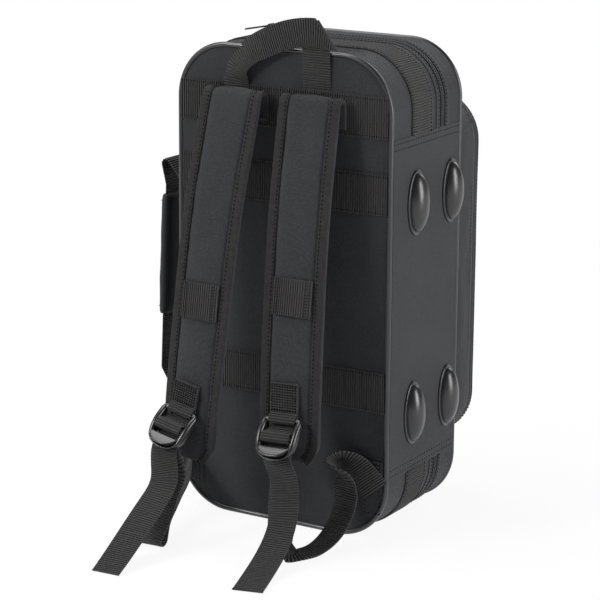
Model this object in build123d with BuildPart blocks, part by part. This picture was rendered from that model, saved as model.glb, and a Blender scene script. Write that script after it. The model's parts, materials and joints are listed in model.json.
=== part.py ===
"""A soft zipped case for a curved soprano saxophone, worn on the back.

The case stands on its short end. The back panel with the shoulder straps faces -Y,
the lid with its pocket faces +Y, the lid's hinge and the side feet are at +X, and
the carry handle is at -X. The origin is on the floor under the middle of the case.
"""

import os
from math import cos, radians, sin

from build123d import *

os.makedirs("parts", exist_ok=True)

# Closed case, measured over its piping
case_width = 240.0
case_height = 475.0
case_depth = 142.0
corner_radius = 56.5
lid_depth = 41.0

# Walls, from the cover inwards
piping_diameter = 5.0
piping_proud = 1.5
cover_thickness = 1.5
panel_thickness = 2.0
board_thickness = 6.0
lining_thickness = 1.5
parting_gap = 0.6

# Webbing
band_width = 40.0
band_thickness = 1.5
webbing_width = 30.0
webbing_thickness = 1.6
gusset_band_setback = 39.5
upper_band_drop = 58.0
band_spacing = 73.0
lower_band_height = 151.0

# Hinge side
hinge_panel_bottom = 62.0
hinge_panel_top = 396.0
hinge_panel_thickness = 1.0
hinge_panel_margin = 5.0
foot_width = 34.0
foot_length = 64.0
foot_flange = 2.2
foot_rim_radius = 1.3
foot_dome_inset = 3.2
foot_dome_height = 10.8
foot_lower_height = 121.0
foot_upper_height = 330.0
back_foot_setback = 49.5
lid_foot_setback = 22.0

# Main zipper
zip_slot_width = 11.0
tape_thickness = 1.0
coil_width = 6.0
coil_height = 1.7
slider_length = 14.0
slider_width = 10.0
slider_thickness = 2.6
slider_clearance = 0.4
pull_length = 30.0
pull_width = 9.0
pull_thickness = 1.6
pull_clearance = 0.2
pin_diameter = 1.8
pin_clearance = 0.05
ear_thickness = 1.4
ear_rim = 1.1
pin_lift = 2.4
corner_slider_angle = 11.0
top_slider_offset = 9.5
flat_pull_angle = 5.0

# Inside
insert_setback = 5.0
recess_floor = 12.0
recess_fillet = 22.0
compartment_fillet = 10.0
lid_pad_thickness = 14.0
lid_pad_margin = 4.0
lid_pad_edge = 9.0
hold_strap_height = 162.0
hold_strap_width = 38.0
hold_strap_thickness = 2.0

# Pocket on the lid
pocket_width = 230.0
pocket_height = 356.0
pocket_bottom = 60.0
pocket_depth = 63.0
pocket_corner = 48.0
pocket_edge_radius = 20.0
pocket_wall = 2.4
pocket_zip_depth = 40.0
pocket_coil_width = 5.0
pocket_coil_height = 1.4
pocket_slider_place = 62.0
pocket_coil_end_share = 0.7

# Shoulder straps
strap_width = 66.0
strap_thickness = 10.0
strap_left_place = -46.0
strap_right_place = 39.0
strap_left_bow = 70.0
strap_right_bow = 54.0
strap_left_drift = -16.0
strap_right_drift = 5.0
strap_left_sag = 12.0
strap_left_yaw = 9.0
patch_width = 43.0
patch_height = 36.0
patch_thickness = 1.3
patch_seat = 0.15
left_patch_height = 232.0
right_patch_height = 246.0

# Ladder locks and their webbing tabs
lock_width = 45.0
lock_length = 40.0
lock_thickness = 5.0
lock_bulge = 4.0
lock_bar_radius = 2.4
lock_slot_width = 31.0
lock_upper_slot = 8.2
lock_middle_bar = 4.5
lock_lower_slot = 11.4
lock_hang = 21.0
left_lock_roll = 8.0
left_lock_height = 127.0
right_lock_height = 129.0
left_lock_place = -72.0
right_lock_place = 41.0
lock_gap = 0.6
tab_length = 42.0
tab_fold = 13.0
tab_seat = 0.8
thread_gap = 0.6
thread_corner = 1.4
thread_run = 3.0
thread_clearance = 1.4
thread_length = 26.0

# Tails and lower webbing
tail_reach = 206.0
anchor_width = 22.0
anchor_height = 56.0
anchor_center_height = 54.0
laid_clearance = 0.2

# Hand loop and carry handle
loop_center = -8.0
loop_leg_spacing = 87.0
loop_top = 504.0
loop_tilt = 4.0
handle_reach = 52.0
handle_upper_height = 345.0
handle_lower_height = 112.0
handle_strand_drop = 53.0
handle_bend = 5.0
handle_sewn_length = 34.0
grip_length = 126.0
grip_drop = 10.0
grip_width = 38.0
grip_thickness = 13.0

# One length that every cutting tool runs past the material
overrun = 20.0

# Sizes that follow
half_width = case_width / 2
mid_height = case_height / 2
rear_y = -case_depth / 2
front_y = case_depth / 2
rear_face_y = rear_y + piping_proud
front_face_y = front_y - piping_proud
zip_y = front_y - lid_depth
back_rim_y = zip_y - parting_gap / 2
lid_rim_y = zip_y + parting_gap / 2
gusset_width = case_width - 2 * piping_proud
gusset_height = case_height - 2 * piping_proud
gusset_radius = corner_radius - piping_proud
piping_radius = piping_diameter / 2
piping_inset = piping_radius
hinge_face_x = gusset_width / 2 + hinge_panel_thickness

pieces = {}


def keep(name, part):
    """Label a finished piece and keep it for writing."""
    part.label = name
    pieces[name] = part


def upright(y):
    """An upright plane across the case at y, centred on it and seen from behind."""
    return Plane(origin=(0, y, mid_height), x_dir=(1, 0, 0), z_dir=(0, -1, 0))


def ring(y_from, y_to, outset, thickness):
    """A band round the case between two depths; outset is from the gusset's face."""
    outer_width = gusset_width + 2 * outset
    outer_height = gusset_height + 2 * outset
    outer_radius = gusset_radius + outset
    with BuildPart() as band:
        with BuildSketch(upright(y_to)):
            RectangleRounded(outer_width, outer_height, outer_radius)
            RectangleRounded(
                outer_width - 2 * thickness,
                outer_height - 2 * thickness,
                outer_radius - thickness,
                mode=Mode.SUBTRACT,
            )
        extrude(amount=y_to - y_from)
    return band.part


def tray(rim_y, floor_y, inset, wall, floor):
    """A rounded tray with its mouth at rim_y; inset is from the gusset's face."""
    width = gusset_width - 2 * inset
    height = gusset_height - 2 * inset
    radius = gusset_radius - inset
    depth = rim_y - floor_y
    hollow = depth - floor if depth > 0 else depth + floor
    with BuildPart() as shell:
        with BuildSketch(upright(rim_y)):
            RectangleRounded(width, height, radius)
        extrude(amount=depth)
        with BuildSketch(upright(rim_y)):
            RectangleRounded(width - 2 * wall, height - 2 * wall, radius - wall)
        extrude(amount=hollow, mode=Mode.SUBTRACT)
    return shell.part


def piping_ring(y):
    """Round piping that follows the case's outline at depth y."""
    with BuildPart() as piping:
        with BuildSketch(upright(y), mode=Mode.PRIVATE) as outline:
            RectangleRounded(
                case_width - 2 * piping_inset,
                case_height - 2 * piping_inset,
                corner_radius - piping_inset,
            )
        route = outline.sketch.wire()
        with BuildSketch(Plane(origin=route @ 0, z_dir=route % 0)):
            Circle(piping_radius)
        sweep(path=route)
    return piping.part


# Piping round the back panel's edge and the lid's edge
keep("rear_piping", piping_ring(rear_y + piping_inset))
keep("front_piping", piping_ring(front_y - piping_inset))

# The zone on the hinge side that the side panel covers
with BuildPart() as hinge_zone:
    with BuildSketch(Plane.XY.offset(hinge_panel_bottom)):
        with Locations((half_width, 0)):
            Rectangle(2 * corner_radius, case_depth + 2 * overrun)
    extrude(amount=hinge_panel_top - hinge_panel_bottom)

# The slot in the gusset that holds the zipper, all round but for the hinge side
with BuildPart() as zip_slot:
    add(ring(zip_y - zip_slot_width / 2, zip_y + zip_slot_width / 2, overrun, overrun + cover_thickness))
    add(hinge_zone.part, mode=Mode.SUBTRACT)

# Foam board trays that stiffen the two halves
board_inset = cover_thickness
back_floor_y = rear_face_y + panel_thickness
lid_floor_y = front_face_y - panel_thickness

with BuildPart() as back_board:
    add(tray(back_rim_y, back_floor_y, board_inset, board_thickness, board_thickness))
    add(pieces["rear_piping"], mode=Mode.SUBTRACT)
keep("back_board", back_board.part)

with BuildPart() as lid_board:
    add(tray(lid_rim_y, lid_floor_y, board_inset, board_thickness, board_thickness))
    add(pieces["front_piping"], mode=Mode.SUBTRACT)
keep("lid_board", lid_board.part)

# Plush linings inside the boards
lining_inset = board_inset + board_thickness
back_lining_y = back_floor_y + board_thickness
lid_lining_y = lid_floor_y - board_thickness
keep("back_lining", tray(back_rim_y, back_lining_y, lining_inset, lining_thickness, lining_thickness))
keep("lid_lining", tray(lid_rim_y, lid_lining_y, lining_inset, lining_thickness, lining_thickness))

# Woven covers: the flat panels and the gussets round the sides
with BuildPart() as back_panel:
    with BuildSketch(upright(back_floor_y)):
        RectangleRounded(gusset_width, gusset_height, gusset_radius)
    extrude(amount=panel_thickness)
    add(pieces["rear_piping"], mode=Mode.SUBTRACT)
keep("back_panel", back_panel.part)

with BuildPart() as front_panel:
    with BuildSketch(upright(front_face_y)):
        RectangleRounded(gusset_width, gusset_height, gusset_radius)
    extrude(amount=panel_thickness)
    add(pieces["front_piping"], mode=Mode.SUBTRACT)
keep("front_panel", front_panel.part)

with BuildPart() as back_gusset:
    add(ring(back_floor_y, back_rim_y, 0, cover_thickness))
    add(zip_slot.part, mode=Mode.SUBTRACT)
    add(pieces["rear_piping"], mode=Mode.SUBTRACT)
keep("back_gusset", back_gusset.part)

with BuildPart() as lid_gusset:
    add(ring(lid_rim_y, lid_floor_y, 0, cover_thickness))
    add(zip_slot.part, mode=Mode.SUBTRACT)
    add(pieces["front_piping"], mode=Mode.SUBTRACT)
keep("lid_gusset", lid_gusset.part)

# The ribbed band round the gusset, from one end of the hinge panel to the other
gusset_band_y = rear_y + gusset_band_setback
with BuildPart() as gusset_band:
    add(ring(gusset_band_y, gusset_band_y + band_width, band_thickness, band_thickness))
    add(hinge_zone.part, mode=Mode.SUBTRACT)
keep("gusset_band", gusset_band.part)

# The side panel that covers the hinge, in two halves that meet at the hinge line
hinge_panel_length = hinge_panel_top - hinge_panel_bottom
hinge_panel_middle = (hinge_panel_top + hinge_panel_bottom) / 2


def hinge_panel(y_from, y_to):
    """A flat cover on the hinge side between two depths."""
    middle = (gusset_width / 2, (y_from + y_to) / 2, hinge_panel_middle)
    side = Plane(origin=middle, x_dir=(0, 1, 0), z_dir=(1, 0, 0))
    with BuildPart() as panel:
        with BuildSketch(side):
            Rectangle(y_to - y_from, hinge_panel_length)
        extrude(amount=hinge_panel_thickness)
    return panel.part


keep("back_hinge_panel", hinge_panel(rear_y + hinge_panel_margin, back_rim_y))
keep("lid_hinge_panel", hinge_panel(lid_rim_y, front_y - hinge_panel_margin))

# Zipper tapes in the slot, with half of the coil on each
tape_outset = tape_thickness - cover_thickness
coil_outset = tape_outset + coil_height
zip_halves = {
    "back": (zip_y - zip_slot_width / 2, zip_y - coil_width / 2, back_rim_y),
    "lid": (zip_y + zip_slot_width / 2, zip_y + coil_width / 2, lid_rim_y),
}
for half, (slot_y, coil_y, rim_y) in zip_halves.items():
    with BuildPart() as zip_tape:
        add(ring(min(slot_y, rim_y), max(slot_y, rim_y), tape_outset, tape_thickness))
        add(hinge_zone.part, mode=Mode.SUBTRACT)
    keep(f"{half}_zip_tape", zip_tape.part)
    with BuildPart() as zip_coil:
        add(ring(min(coil_y, rim_y), max(coil_y, rim_y), coil_outset, coil_height))
        add(hinge_zone.part, mode=Mode.SUBTRACT)
    keep(f"{half}_zip_coil", zip_coil.part)

# The flat of the back panel inside its piping, as deep as sewn webbing
with BuildPart() as sewn_zone:
    with BuildSketch(upright(rear_face_y)):
        RectangleRounded(
            case_width - 2 * piping_diameter,
            case_height - 2 * piping_diameter,
            corner_radius - piping_diameter,
        )
    extrude(amount=band_thickness)

# Webbing bands sewn across the back panel
band_length = case_width - 2 * piping_diameter
upper_band_height = case_height - upper_band_drop
middle_band_height = upper_band_height - band_spacing
for name, height in (
    ("upper_back_band", upper_band_height),
    ("middle_back_band", middle_band_height),
    ("lower_back_band", lower_band_height),
):
    with BuildPart() as back_band:
        with BuildSketch(upright(rear_face_y)):
            with Locations((0, height - mid_height)):
                Rectangle(band_length, band_width)
        extrude(amount=band_thickness)
        add(sewn_zone.part, mode=Mode.INTERSECT)
    keep(name, back_band.part)


# Domed oval feet on the hinge side
dome_shares = ((0.0, 1.0), (0.3, 0.94), (0.58, 0.8), (0.8, 0.6), (0.94, 0.36), (1.0, 0.12))


def side_foot(y, z):
    """An oval foot with a thin rim and a tall smooth dome."""
    base = Plane(origin=(hinge_face_x, y, z), x_dir=(0, 1, 0), z_dir=(1, 0, 0))
    with BuildPart() as foot:
        with BuildSketch(base):
            Ellipse(foot_width / 2, foot_length / 2)
        extrude(amount=foot_flange)
        fillet(foot.edges().group_by(Axis.X)[-1], foot_rim_radius)
        for lift, share in dome_shares:
            with BuildSketch(base.offset(foot_flange + lift * foot_dome_height)):
                Ellipse(
                    share * (foot_width / 2 - foot_dome_inset),
                    share * (foot_length / 2 - foot_dome_inset),
                )
        loft()
    return foot.part


back_foot_y = rear_y + back_foot_setback
lid_foot_y = front_y - lid_foot_setback
keep("back_foot_lower", side_foot(back_foot_y, foot_lower_height))
keep("back_foot_upper", side_foot(back_foot_y, foot_upper_height))
keep("lid_foot_lower", side_foot(lid_foot_y, foot_lower_height))
keep("lid_foot_upper", side_foot(lid_foot_y, foot_upper_height))

# Fitted foam insert, with a recess for the instrument and one for its neck and mouthpiece
room_inset = lining_inset + lining_thickness
insert_face_y = back_rim_y - insert_setback
insert_back_y = back_lining_y + lining_thickness
insert_width = gusset_width - 2 * room_inset
insert_height = gusset_height - 2 * room_inset
recess_depth = insert_face_y - insert_back_y - recess_floor
recess_shares = ((-0.33, -0.43), (0.42, -0.43), (0.42, 0.08), (0.06, 0.08), (0.06, 0.44), (-0.33, 0.44))
compartment_shares = ((0.13, 0.14), (0.43, 0.14), (0.43, 0.41), (0.13, 0.41))


def share_corners(shares, width, height):
    """Corners of an outline from shares of a width and a height."""
    return [(width * x_share, height * z_share) for x_share, z_share in shares]


with BuildPart() as fitted_insert:
    with BuildSketch(upright(insert_face_y)):
        RectangleRounded(insert_width, insert_height, gusset_radius - room_inset)
    extrude(amount=insert_face_y - insert_back_y)
    with BuildSketch(upright(insert_face_y)) as recess:
        with BuildLine():
            Polyline(share_corners(recess_shares, insert_width, insert_height), close=True)
        make_face()
        fillet(recess.vertices(), recess_fillet)
    extrude(amount=recess_depth, mode=Mode.SUBTRACT)
    with BuildSketch(upright(insert_face_y)) as compartment:
        with BuildLine():
            Polyline(share_corners(compartment_shares, insert_width, insert_height), close=True)
        make_face()
        fillet(compartment.vertices(), compartment_fillet)
    extrude(amount=recess_depth, mode=Mode.SUBTRACT)
keep("fitted_insert", fitted_insert.part)

# The band that holds the instrument down, sewn across the insert's face
with BuildPart() as hold_down_strap:
    with BuildSketch(upright(insert_face_y + hold_strap_thickness)):
        with Locations((0, hold_strap_height - mid_height)):
            Rectangle(insert_width, hold_strap_width)
    extrude(amount=hold_strap_thickness)
keep("hold_down_strap", hold_down_strap.part)

# The padded cushion inside the lid
lid_pad_back_y = lid_lining_y - lining_thickness
with BuildPart() as lid_pad:
    with BuildSketch(upright(lid_pad_back_y)):
        RectangleRounded(
            insert_width - 2 * lid_pad_margin,
            insert_height - 2 * lid_pad_margin,
            gusset_radius - room_inset - lid_pad_margin,
        )
    extrude(amount=lid_pad_thickness)
    fillet(lid_pad.edges().group_by(Axis.Y)[0], lid_pad_edge)
keep("lid_pad", lid_pad.part)

# Pocket on the lid: a gusset wall and a front that opens as a door
pocket_middle = pocket_bottom + pocket_height / 2
pocket_parting_y = front_face_y + pocket_zip_depth
pocket_front_y = front_face_y + pocket_depth


def pocket_plane(y):
    """An upright plane at y, centred on the pocket."""
    return Plane(origin=(0, y, pocket_middle), x_dir=(1, 0, 0), z_dir=(0, -1, 0))


def pocket_ring(y_from, y_to, outset, thickness):
    """A band round the pocket between two depths; outset is from the pocket's face."""
    with BuildPart() as band:
        with BuildSketch(pocket_plane(y_to)):
            RectangleRounded(pocket_width + 2 * outset, pocket_height + 2 * outset, pocket_corner + outset)
            RectangleRounded(
                pocket_width + 2 * outset - 2 * thickness,
                pocket_height + 2 * outset - 2 * thickness,
                pocket_corner + outset - thickness,
                mode=Mode.SUBTRACT,
            )
        extrude(amount=y_to - y_from)
    return band.part


keep("pocket_gusset", pocket_ring(front_face_y, pocket_parting_y - parting_gap / 2, 0, pocket_wall))

with BuildPart() as pocket_flap:
    with BuildSketch(pocket_plane(pocket_front_y)):
        RectangleRounded(pocket_width, pocket_height, pocket_corner)
    extrude(amount=pocket_front_y - pocket_parting_y - parting_gap / 2)
    fillet(pocket_flap.edges().group_by(Axis.Y)[-1], pocket_edge_radius)
    mouth = pocket_flap.faces().sort_by(Axis.Y)[0]
    offset(amount=-pocket_wall, openings=mouth)
keep("pocket_flap", pocket_flap.part)

# The pocket's zipper runs along the bottom, the free side and the top
coil_end = pocket_coil_end_share * pocket_corner
with BuildPart() as pocket_hinge_zone:
    with BuildSketch(Plane.XY.offset(pocket_bottom + coil_end)):
        with Locations((pocket_width / 2, pocket_parting_y)):
            Rectangle(2 * pocket_corner, 2 * pocket_depth)
    extrude(amount=pocket_height - 2 * coil_end)

for name, y_from, y_to in (
    ("pocket_gusset_coil", pocket_parting_y - pocket_coil_width / 2, pocket_parting_y - parting_gap / 2),
    ("pocket_flap_coil", pocket_parting_y + parting_gap / 2, pocket_parting_y + pocket_coil_width / 2),
):
    with BuildPart() as pocket_coil:
        add(pocket_ring(y_from, y_to, pocket_coil_height, pocket_coil_height))
        add(pocket_hinge_zone.part, mode=Mode.SUBTRACT)
    keep(name, pocket_coil.part)


def zip_slider(frame, lift):
    """A slider over the coil: frame has its origin on the cover, X along the pull, Z outwards."""
    pin_center = lift + slider_thickness + pin_lift
    half_eye = pull_width / 2 - ear_thickness
    with BuildPart() as slider:
        with BuildSketch(frame.offset(lift)):
            SlotOverall(slider_length, slider_width)
        extrude(amount=slider_thickness)
        with BuildSketch(Plane(origin=frame.origin, x_dir=frame.x_dir, z_dir=-frame.y_dir)) as ears:
            with Locations((0, pin_center)):
                Circle(pin_diameter / 2 + ear_rim)
            with Locations((0, (lift + slider_thickness / 2 + pin_center) / 2)):
                Rectangle(pin_diameter + 2 * ear_rim, pin_center - lift - slider_thickness / 2)
        extrude(amount=pull_width / 2, both=True)
        with BuildSketch(Plane(origin=frame.origin, x_dir=frame.x_dir, z_dir=-frame.y_dir)):
            with Locations((0, lift + slider_thickness + overrun / 2)):
                Rectangle(slider_length, overrun)
        extrude(amount=half_eye, both=True, mode=Mode.SUBTRACT)
        with BuildSketch(Plane(origin=frame.origin, x_dir=frame.x_dir, z_dir=-frame.y_dir)):
            with Locations((0, pin_center)):
                Circle(pin_diameter / 2)
        extrude(amount=pull_width / 2, both=True)
    return slider.part


def zip_pull(frame, lift, swing):
    """A pull on the slider's pin, swung from lying along the frame's X towards its Z."""
    pin_center = lift + slider_thickness + pin_lift
    half_eye = pull_width / 2 - ear_thickness - pull_clearance
    side = Plane(origin=frame.origin, x_dir=frame.x_dir, z_dir=-frame.y_dir)
    eye_radius = pin_diameter / 2 + pin_clearance + ear_rim
    with BuildPart() as pull:
        with BuildSketch(side):
            with Locations(Location((0, pin_center), swing)):
                Circle(eye_radius)
                with Locations((pull_length / 2, 0)):
                    Rectangle(pull_length, pull_thickness)
                Circle(pin_diameter / 2 + pin_clearance, mode=Mode.SUBTRACT)
        extrude(amount=half_eye, both=True)
    return pull.part


coil_lift = coil_outset + slider_clearance
top_corner_height = case_height - corner_radius
corner_x = -(half_width - corner_radius)
slider_turn = radians(corner_slider_angle)
corner_frame = Plane(
    origin=(
        corner_x - gusset_radius * sin(slider_turn),
        zip_y,
        top_corner_height + gusset_radius * cos(slider_turn),
    ),
    x_dir=(-cos(slider_turn), 0, -sin(slider_turn)),
    z_dir=(-sin(slider_turn), 0, cos(slider_turn)),
)
top_frame = Plane(
    origin=(corner_x + top_slider_offset, zip_y, case_height - piping_proud),
    x_dir=(1, 0, 0),
    z_dir=(0, 0, 1),
)
pocket_slider_frame = Plane(
    origin=(pocket_slider_place, pocket_parting_y, pocket_bottom),
    x_dir=(-1, 0, 0),
    z_dir=(0, 0, -1),
)
pocket_lift = pocket_coil_height + slider_clearance
keep("corner_zip_slider", zip_slider(corner_frame, coil_lift))
keep("corner_zip_pull", zip_pull(corner_frame, coil_lift, 0))
keep("top_zip_slider", zip_slider(top_frame, coil_lift))
keep("top_zip_pull", zip_pull(top_frame, coil_lift, -flat_pull_angle))
keep("pocket_zip_slider", zip_slider(pocket_slider_frame, pocket_lift))
keep("pocket_zip_pull", zip_pull(pocket_slider_frame, pocket_lift, 90))


# Shoulder straps: share of the case's height, share of the bow away from the back,
# lean of the strap in degrees (180 is up, 90 straight out, 0 down), shares of the
# thickness and the width, and the share of the strap's sideways drift
strap_shares = (
    (0.850, 0.00, 180, 0.6, 1.00, 0.00),
    (0.892, 0.00, 180, 0.6, 1.00, 0.00),
    (0.903, 0.03, 140, 0.6, 1.00, 0.00),
    (0.908, 0.10, 90, 0.6, 1.00, 0.00),
    (0.903, 0.18, 45, 0.7, 1.00, 0.00),
    (0.890, 0.22, 12, 0.8, 1.00, 0.00),
    (0.842, 0.30, 13, 1.0, 1.00, 0.05),
    (0.737, 0.49, 11, 1.0, 1.00, 0.20),
    (0.518, 0.75, 8, 1.0, 1.00, 0.48),
    (0.312, 0.91, 5, 1.0, 1.00, 0.80),
    (0.240, 0.95, 4, 1.0, 1.00, 0.92),
    (0.205, 0.97, 3, 0.9, 0.88, 0.97),
    (0.188, 0.98, 3, 0.7, 0.62, 1.00),
)
strap_root_standoff = band_thickness + strap_thickness * strap_shares[0][3] / 2


def strap_plane(shares, place, bow, drift, sag, yaw):
    """The plane of one cross-section of a shoulder strap."""
    height_share, bow_share, lean, thickness_share, width_share, drift_share = shares
    turn = radians(yaw * drift_share)
    across = Vector(cos(turn), -sin(turn), 0)
    outward = Vector(-sin(turn), -cos(turn), 0)
    along = outward * sin(radians(lean)) - Vector(0, 0, cos(radians(lean)))
    origin = Vector(
        place + drift * drift_share,
        rear_face_y - strap_root_standoff - bow * bow_share,
        case_height * height_share - sag * drift_share,
    )
    return Plane(origin=origin, x_dir=across, z_dir=along)


def shoulder_strap(place, bow, drift, sag, yaw, extra):
    """A padded strap that folds over at the top and hangs clear of the back."""
    with BuildPart() as strap:
        for shares in strap_shares:
            with BuildSketch(strap_plane(shares, place, bow, drift, sag, yaw)):
                thickness = strap_thickness * shares[3] + 2 * extra
                SlotOverall(strap_width * shares[4], thickness)
        loft(ruled=True)
    return strap.part


straps = {
    "left": (strap_left_place, strap_left_bow, strap_left_drift, strap_left_sag, strap_left_yaw),
    "right": (strap_right_place, strap_right_bow, strap_right_drift, 0.0, 0.0),
}
patch_heights = {"left": left_patch_height, "right": right_patch_height}
for side, route in straps.items():
    keep(f"shoulder_strap_{side}", shoulder_strap(*route, 0))


def strap_front(side, height):
    """The point at a height on the strap's centre line, and the plane across the strap there."""
    place, bow, drift, sag, yaw = straps[side]
    hanging = [strap_plane(shares, place, bow, drift, sag, yaw) for shares in strap_shares[5:]]
    for above, below in zip(hanging, hanging[1:]):
        if above.origin.Z >= height >= below.origin.Z:
            share = (above.origin.Z - height) / (above.origin.Z - below.origin.Z)
            origin = above.origin + (below.origin - above.origin) * share
            return Plane(origin=origin, x_dir=above.x_dir, z_dir=above.y_dir)
    return hanging[-1]


# The webbing patch across the front of each strap
for side, height in patch_heights.items():
    front = strap_front(side, height)
    with BuildPart() as strap_patch:
        add(shoulder_strap(*straps[side], patch_thickness))
        with BuildSketch(front):
            Rectangle(patch_width, patch_height)
        extrude(amount=strap_thickness, mode=Mode.INTERSECT)
        add(shoulder_strap(*straps[side], patch_seat), mode=Mode.SUBTRACT)
    keep(f"strap_patch_{side}", strap_patch.part)


def turned(plane, direction, angle):
    """A plane turned through its own origin about a direction."""
    line = Axis((0, 0, 0), direction)
    return Plane(
        origin=plane.origin,
        x_dir=plane.x_dir.rotate(line, angle),
        z_dir=plane.z_dir.rotate(line, angle),
    )


def tab_frame(side, place, height, roll):
    """The frame of a strap's tab: origin on the lock's top bar, X across, Y up, Z outwards."""
    front = strap_front(side, height)
    shift = (place - front.origin.X) / front.x_dir.X
    lift = strap_thickness / 2 + tab_seat + tab_loop_radius
    origin = front.origin + front.x_dir * shift + front.z_dir * lift
    return turned(Plane(origin=origin, x_dir=front.x_dir, z_dir=front.z_dir), front.z_dir, roll)


lock_places = {
    "left": (left_lock_place, left_lock_height, left_lock_roll),
    "right": (right_lock_place, right_lock_height, 0.0),
}
tab_eye_radius = lock_bar_radius + pin_clearance
tab_loop_radius = tab_eye_radius + webbing_thickness
upper_slot_end = lock_bar_radius + lock_gap + lock_upper_slot
lower_slot_start = upper_slot_end + lock_middle_bar
lower_slot_end = lower_slot_start + lock_lower_slot

# Corners of the lock's outline from the front: shares of half its width and of its length
lock_outline_shares = ((0.88, 0.06), (1.0, -0.45), (0.78, -0.82), (0.0, -1.0))


def side_of(frame):
    """The plane through a frame's origin that shows it from the side: X up, Y outwards."""
    return Plane(origin=frame.origin, x_dir=frame.y_dir, z_dir=frame.x_dir)


def ladder_lock(frame):
    """A curved buckle with a round top bar, two slots and a rounded lip."""
    rail_top, rail_widest, lip_start, lip = [
        (lock_width / 2 * x_share, lock_length * y_share) for x_share, y_share in lock_outline_shares
    ]
    mirrored = [(-x, y) for x, y in (rail_top, rail_widest, lip_start)]
    back_y = lock_bar_radius - lock_thickness
    with BuildPart() as lock:
        with BuildSketch(side_of(frame)):
            with BuildLine():
                ThreePointArc(
                    (0, lock_bar_radius),
                    (-lock_length / 2, lock_bar_radius + lock_bulge),
                    (-lock_length, lock_bar_radius),
                )
                Line((-lock_length, lock_bar_radius), (-lock_length, back_y))
                ThreePointArc(
                    (-lock_length, back_y),
                    (-lock_length / 2, back_y + lock_bulge),
                    (0, -lock_bar_radius),
                )
                Line((0, -lock_bar_radius), (0, lock_bar_radius))
            make_face()
            Circle(lock_bar_radius)
        extrude(amount=lock_width / 2, both=True)
        with BuildSketch(frame.offset(-overrun)):
            with BuildLine():
                ThreePointArc(mirrored[0], mirrored[1], mirrored[2])
                ThreePointArc(mirrored[2], lip, lip_start)
                ThreePointArc(lip_start, rail_widest, rail_top)
                Line(rail_top, mirrored[0])
            make_face()
        extrude(amount=2 * overrun, mode=Mode.INTERSECT)
        with BuildSketch(frame.offset(-overrun)):
            with Locations((0, (overrun - upper_slot_end) / 2)):
                Rectangle(lock_slot_width, upper_slot_end + overrun)
            with Locations((0, -(lower_slot_start + lower_slot_end) / 2)):
                Rectangle(lock_slot_width, lock_lower_slot)
        extrude(amount=2 * overrun, mode=Mode.SUBTRACT)
        with BuildSketch(side_of(frame)):
            Circle(lock_bar_radius)
        extrude(amount=lock_slot_width / 2, both=True)
    return lock.part


def webbing_tab(frame, strap):
    """The webbing that loops round the lock's top bar and is sewn double to the strap's face."""
    plate_front = 2 * webbing_thickness - tab_loop_radius
    with BuildPart() as tab:
        with BuildSketch(side_of(frame)):
            Circle(tab_loop_radius)
            with BuildLine():
                Polyline(
                    (0, tab_loop_radius),
                    (0, -tab_loop_radius - webbing_thickness),
                    (tab_length, -tab_loop_radius - webbing_thickness),
                    (tab_length, plate_front),
                    (tab_fold, plate_front),
                    close=True,
                )
            make_face()
            Circle(tab_eye_radius, mode=Mode.SUBTRACT)
        extrude(amount=webbing_width / 2, both=True)
        add(strap, mode=Mode.SUBTRACT)
    return tab.part


def lock_thread(frame):
    """The webbing threaded through the lock: up behind it, over its middle bar and down."""
    front = lock_bar_radius + lock_bulge + thread_gap + webbing_thickness / 2
    near = lock_bar_radius - lock_thickness - thread_gap - webbing_thickness / 2
    far = near - webbing_thickness - thread_gap
    top = -(upper_slot_end - thread_gap - webbing_thickness / 2)
    bottom = -(lower_slot_start + thread_gap + webbing_thickness / 2)
    with BuildPart() as thread:
        with BuildSketch(side_of(frame)):
            with BuildLine():
                FilletPolyline(
                    (-thread_length, far),
                    (top, far),
                    (top, front),
                    (bottom, front),
                    (bottom, near),
                    (-thread_length, near),
                    radius=thread_corner,
                )
            trace(line_width=webbing_thickness)
        extrude(amount=webbing_width / 2, both=True)
    return thread.part


lock_frames = {}
for side, (place, height, roll) in lock_places.items():
    sewn = tab_frame(side, place, height, roll)
    lock_frames[side] = turned(sewn, sewn.x_dir, -lock_hang)
    keep(f"ladder_lock_{side}", ladder_lock(lock_frames[side]))
    keep(f"lock_thread_{side}", lock_thread(lock_frames[side]))
    keep(f"strap_tab_{side}", webbing_tab(sewn, pieces[f"shoulder_strap_{side}"]))


def hanging_point(x_share, out_share, height_share):
    """A point of a webbing's route: shares of half the width, the reach and the lock's height."""
    return Vector(
        half_width * x_share,
        rear_face_y - tail_reach * out_share,
        left_lock_height * height_share,
    )


def webbing(points, widths):
    """Flat webbing along a smooth route; widths gives the direction of its width at each point."""
    halves = [Vector(*width).normalized() * (webbing_width / 2) for width in widths]
    near_edge = Spline(*[point - half for point, half in zip(points, halves)])
    far_edge = Spline(*[point + half for point, half in zip(points, halves)])
    with BuildPart() as strap:
        thicken(Face.make_surface_from_curves(near_edge, far_edge), amount=webbing_thickness / 2, both=True)
    return strap.part


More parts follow.
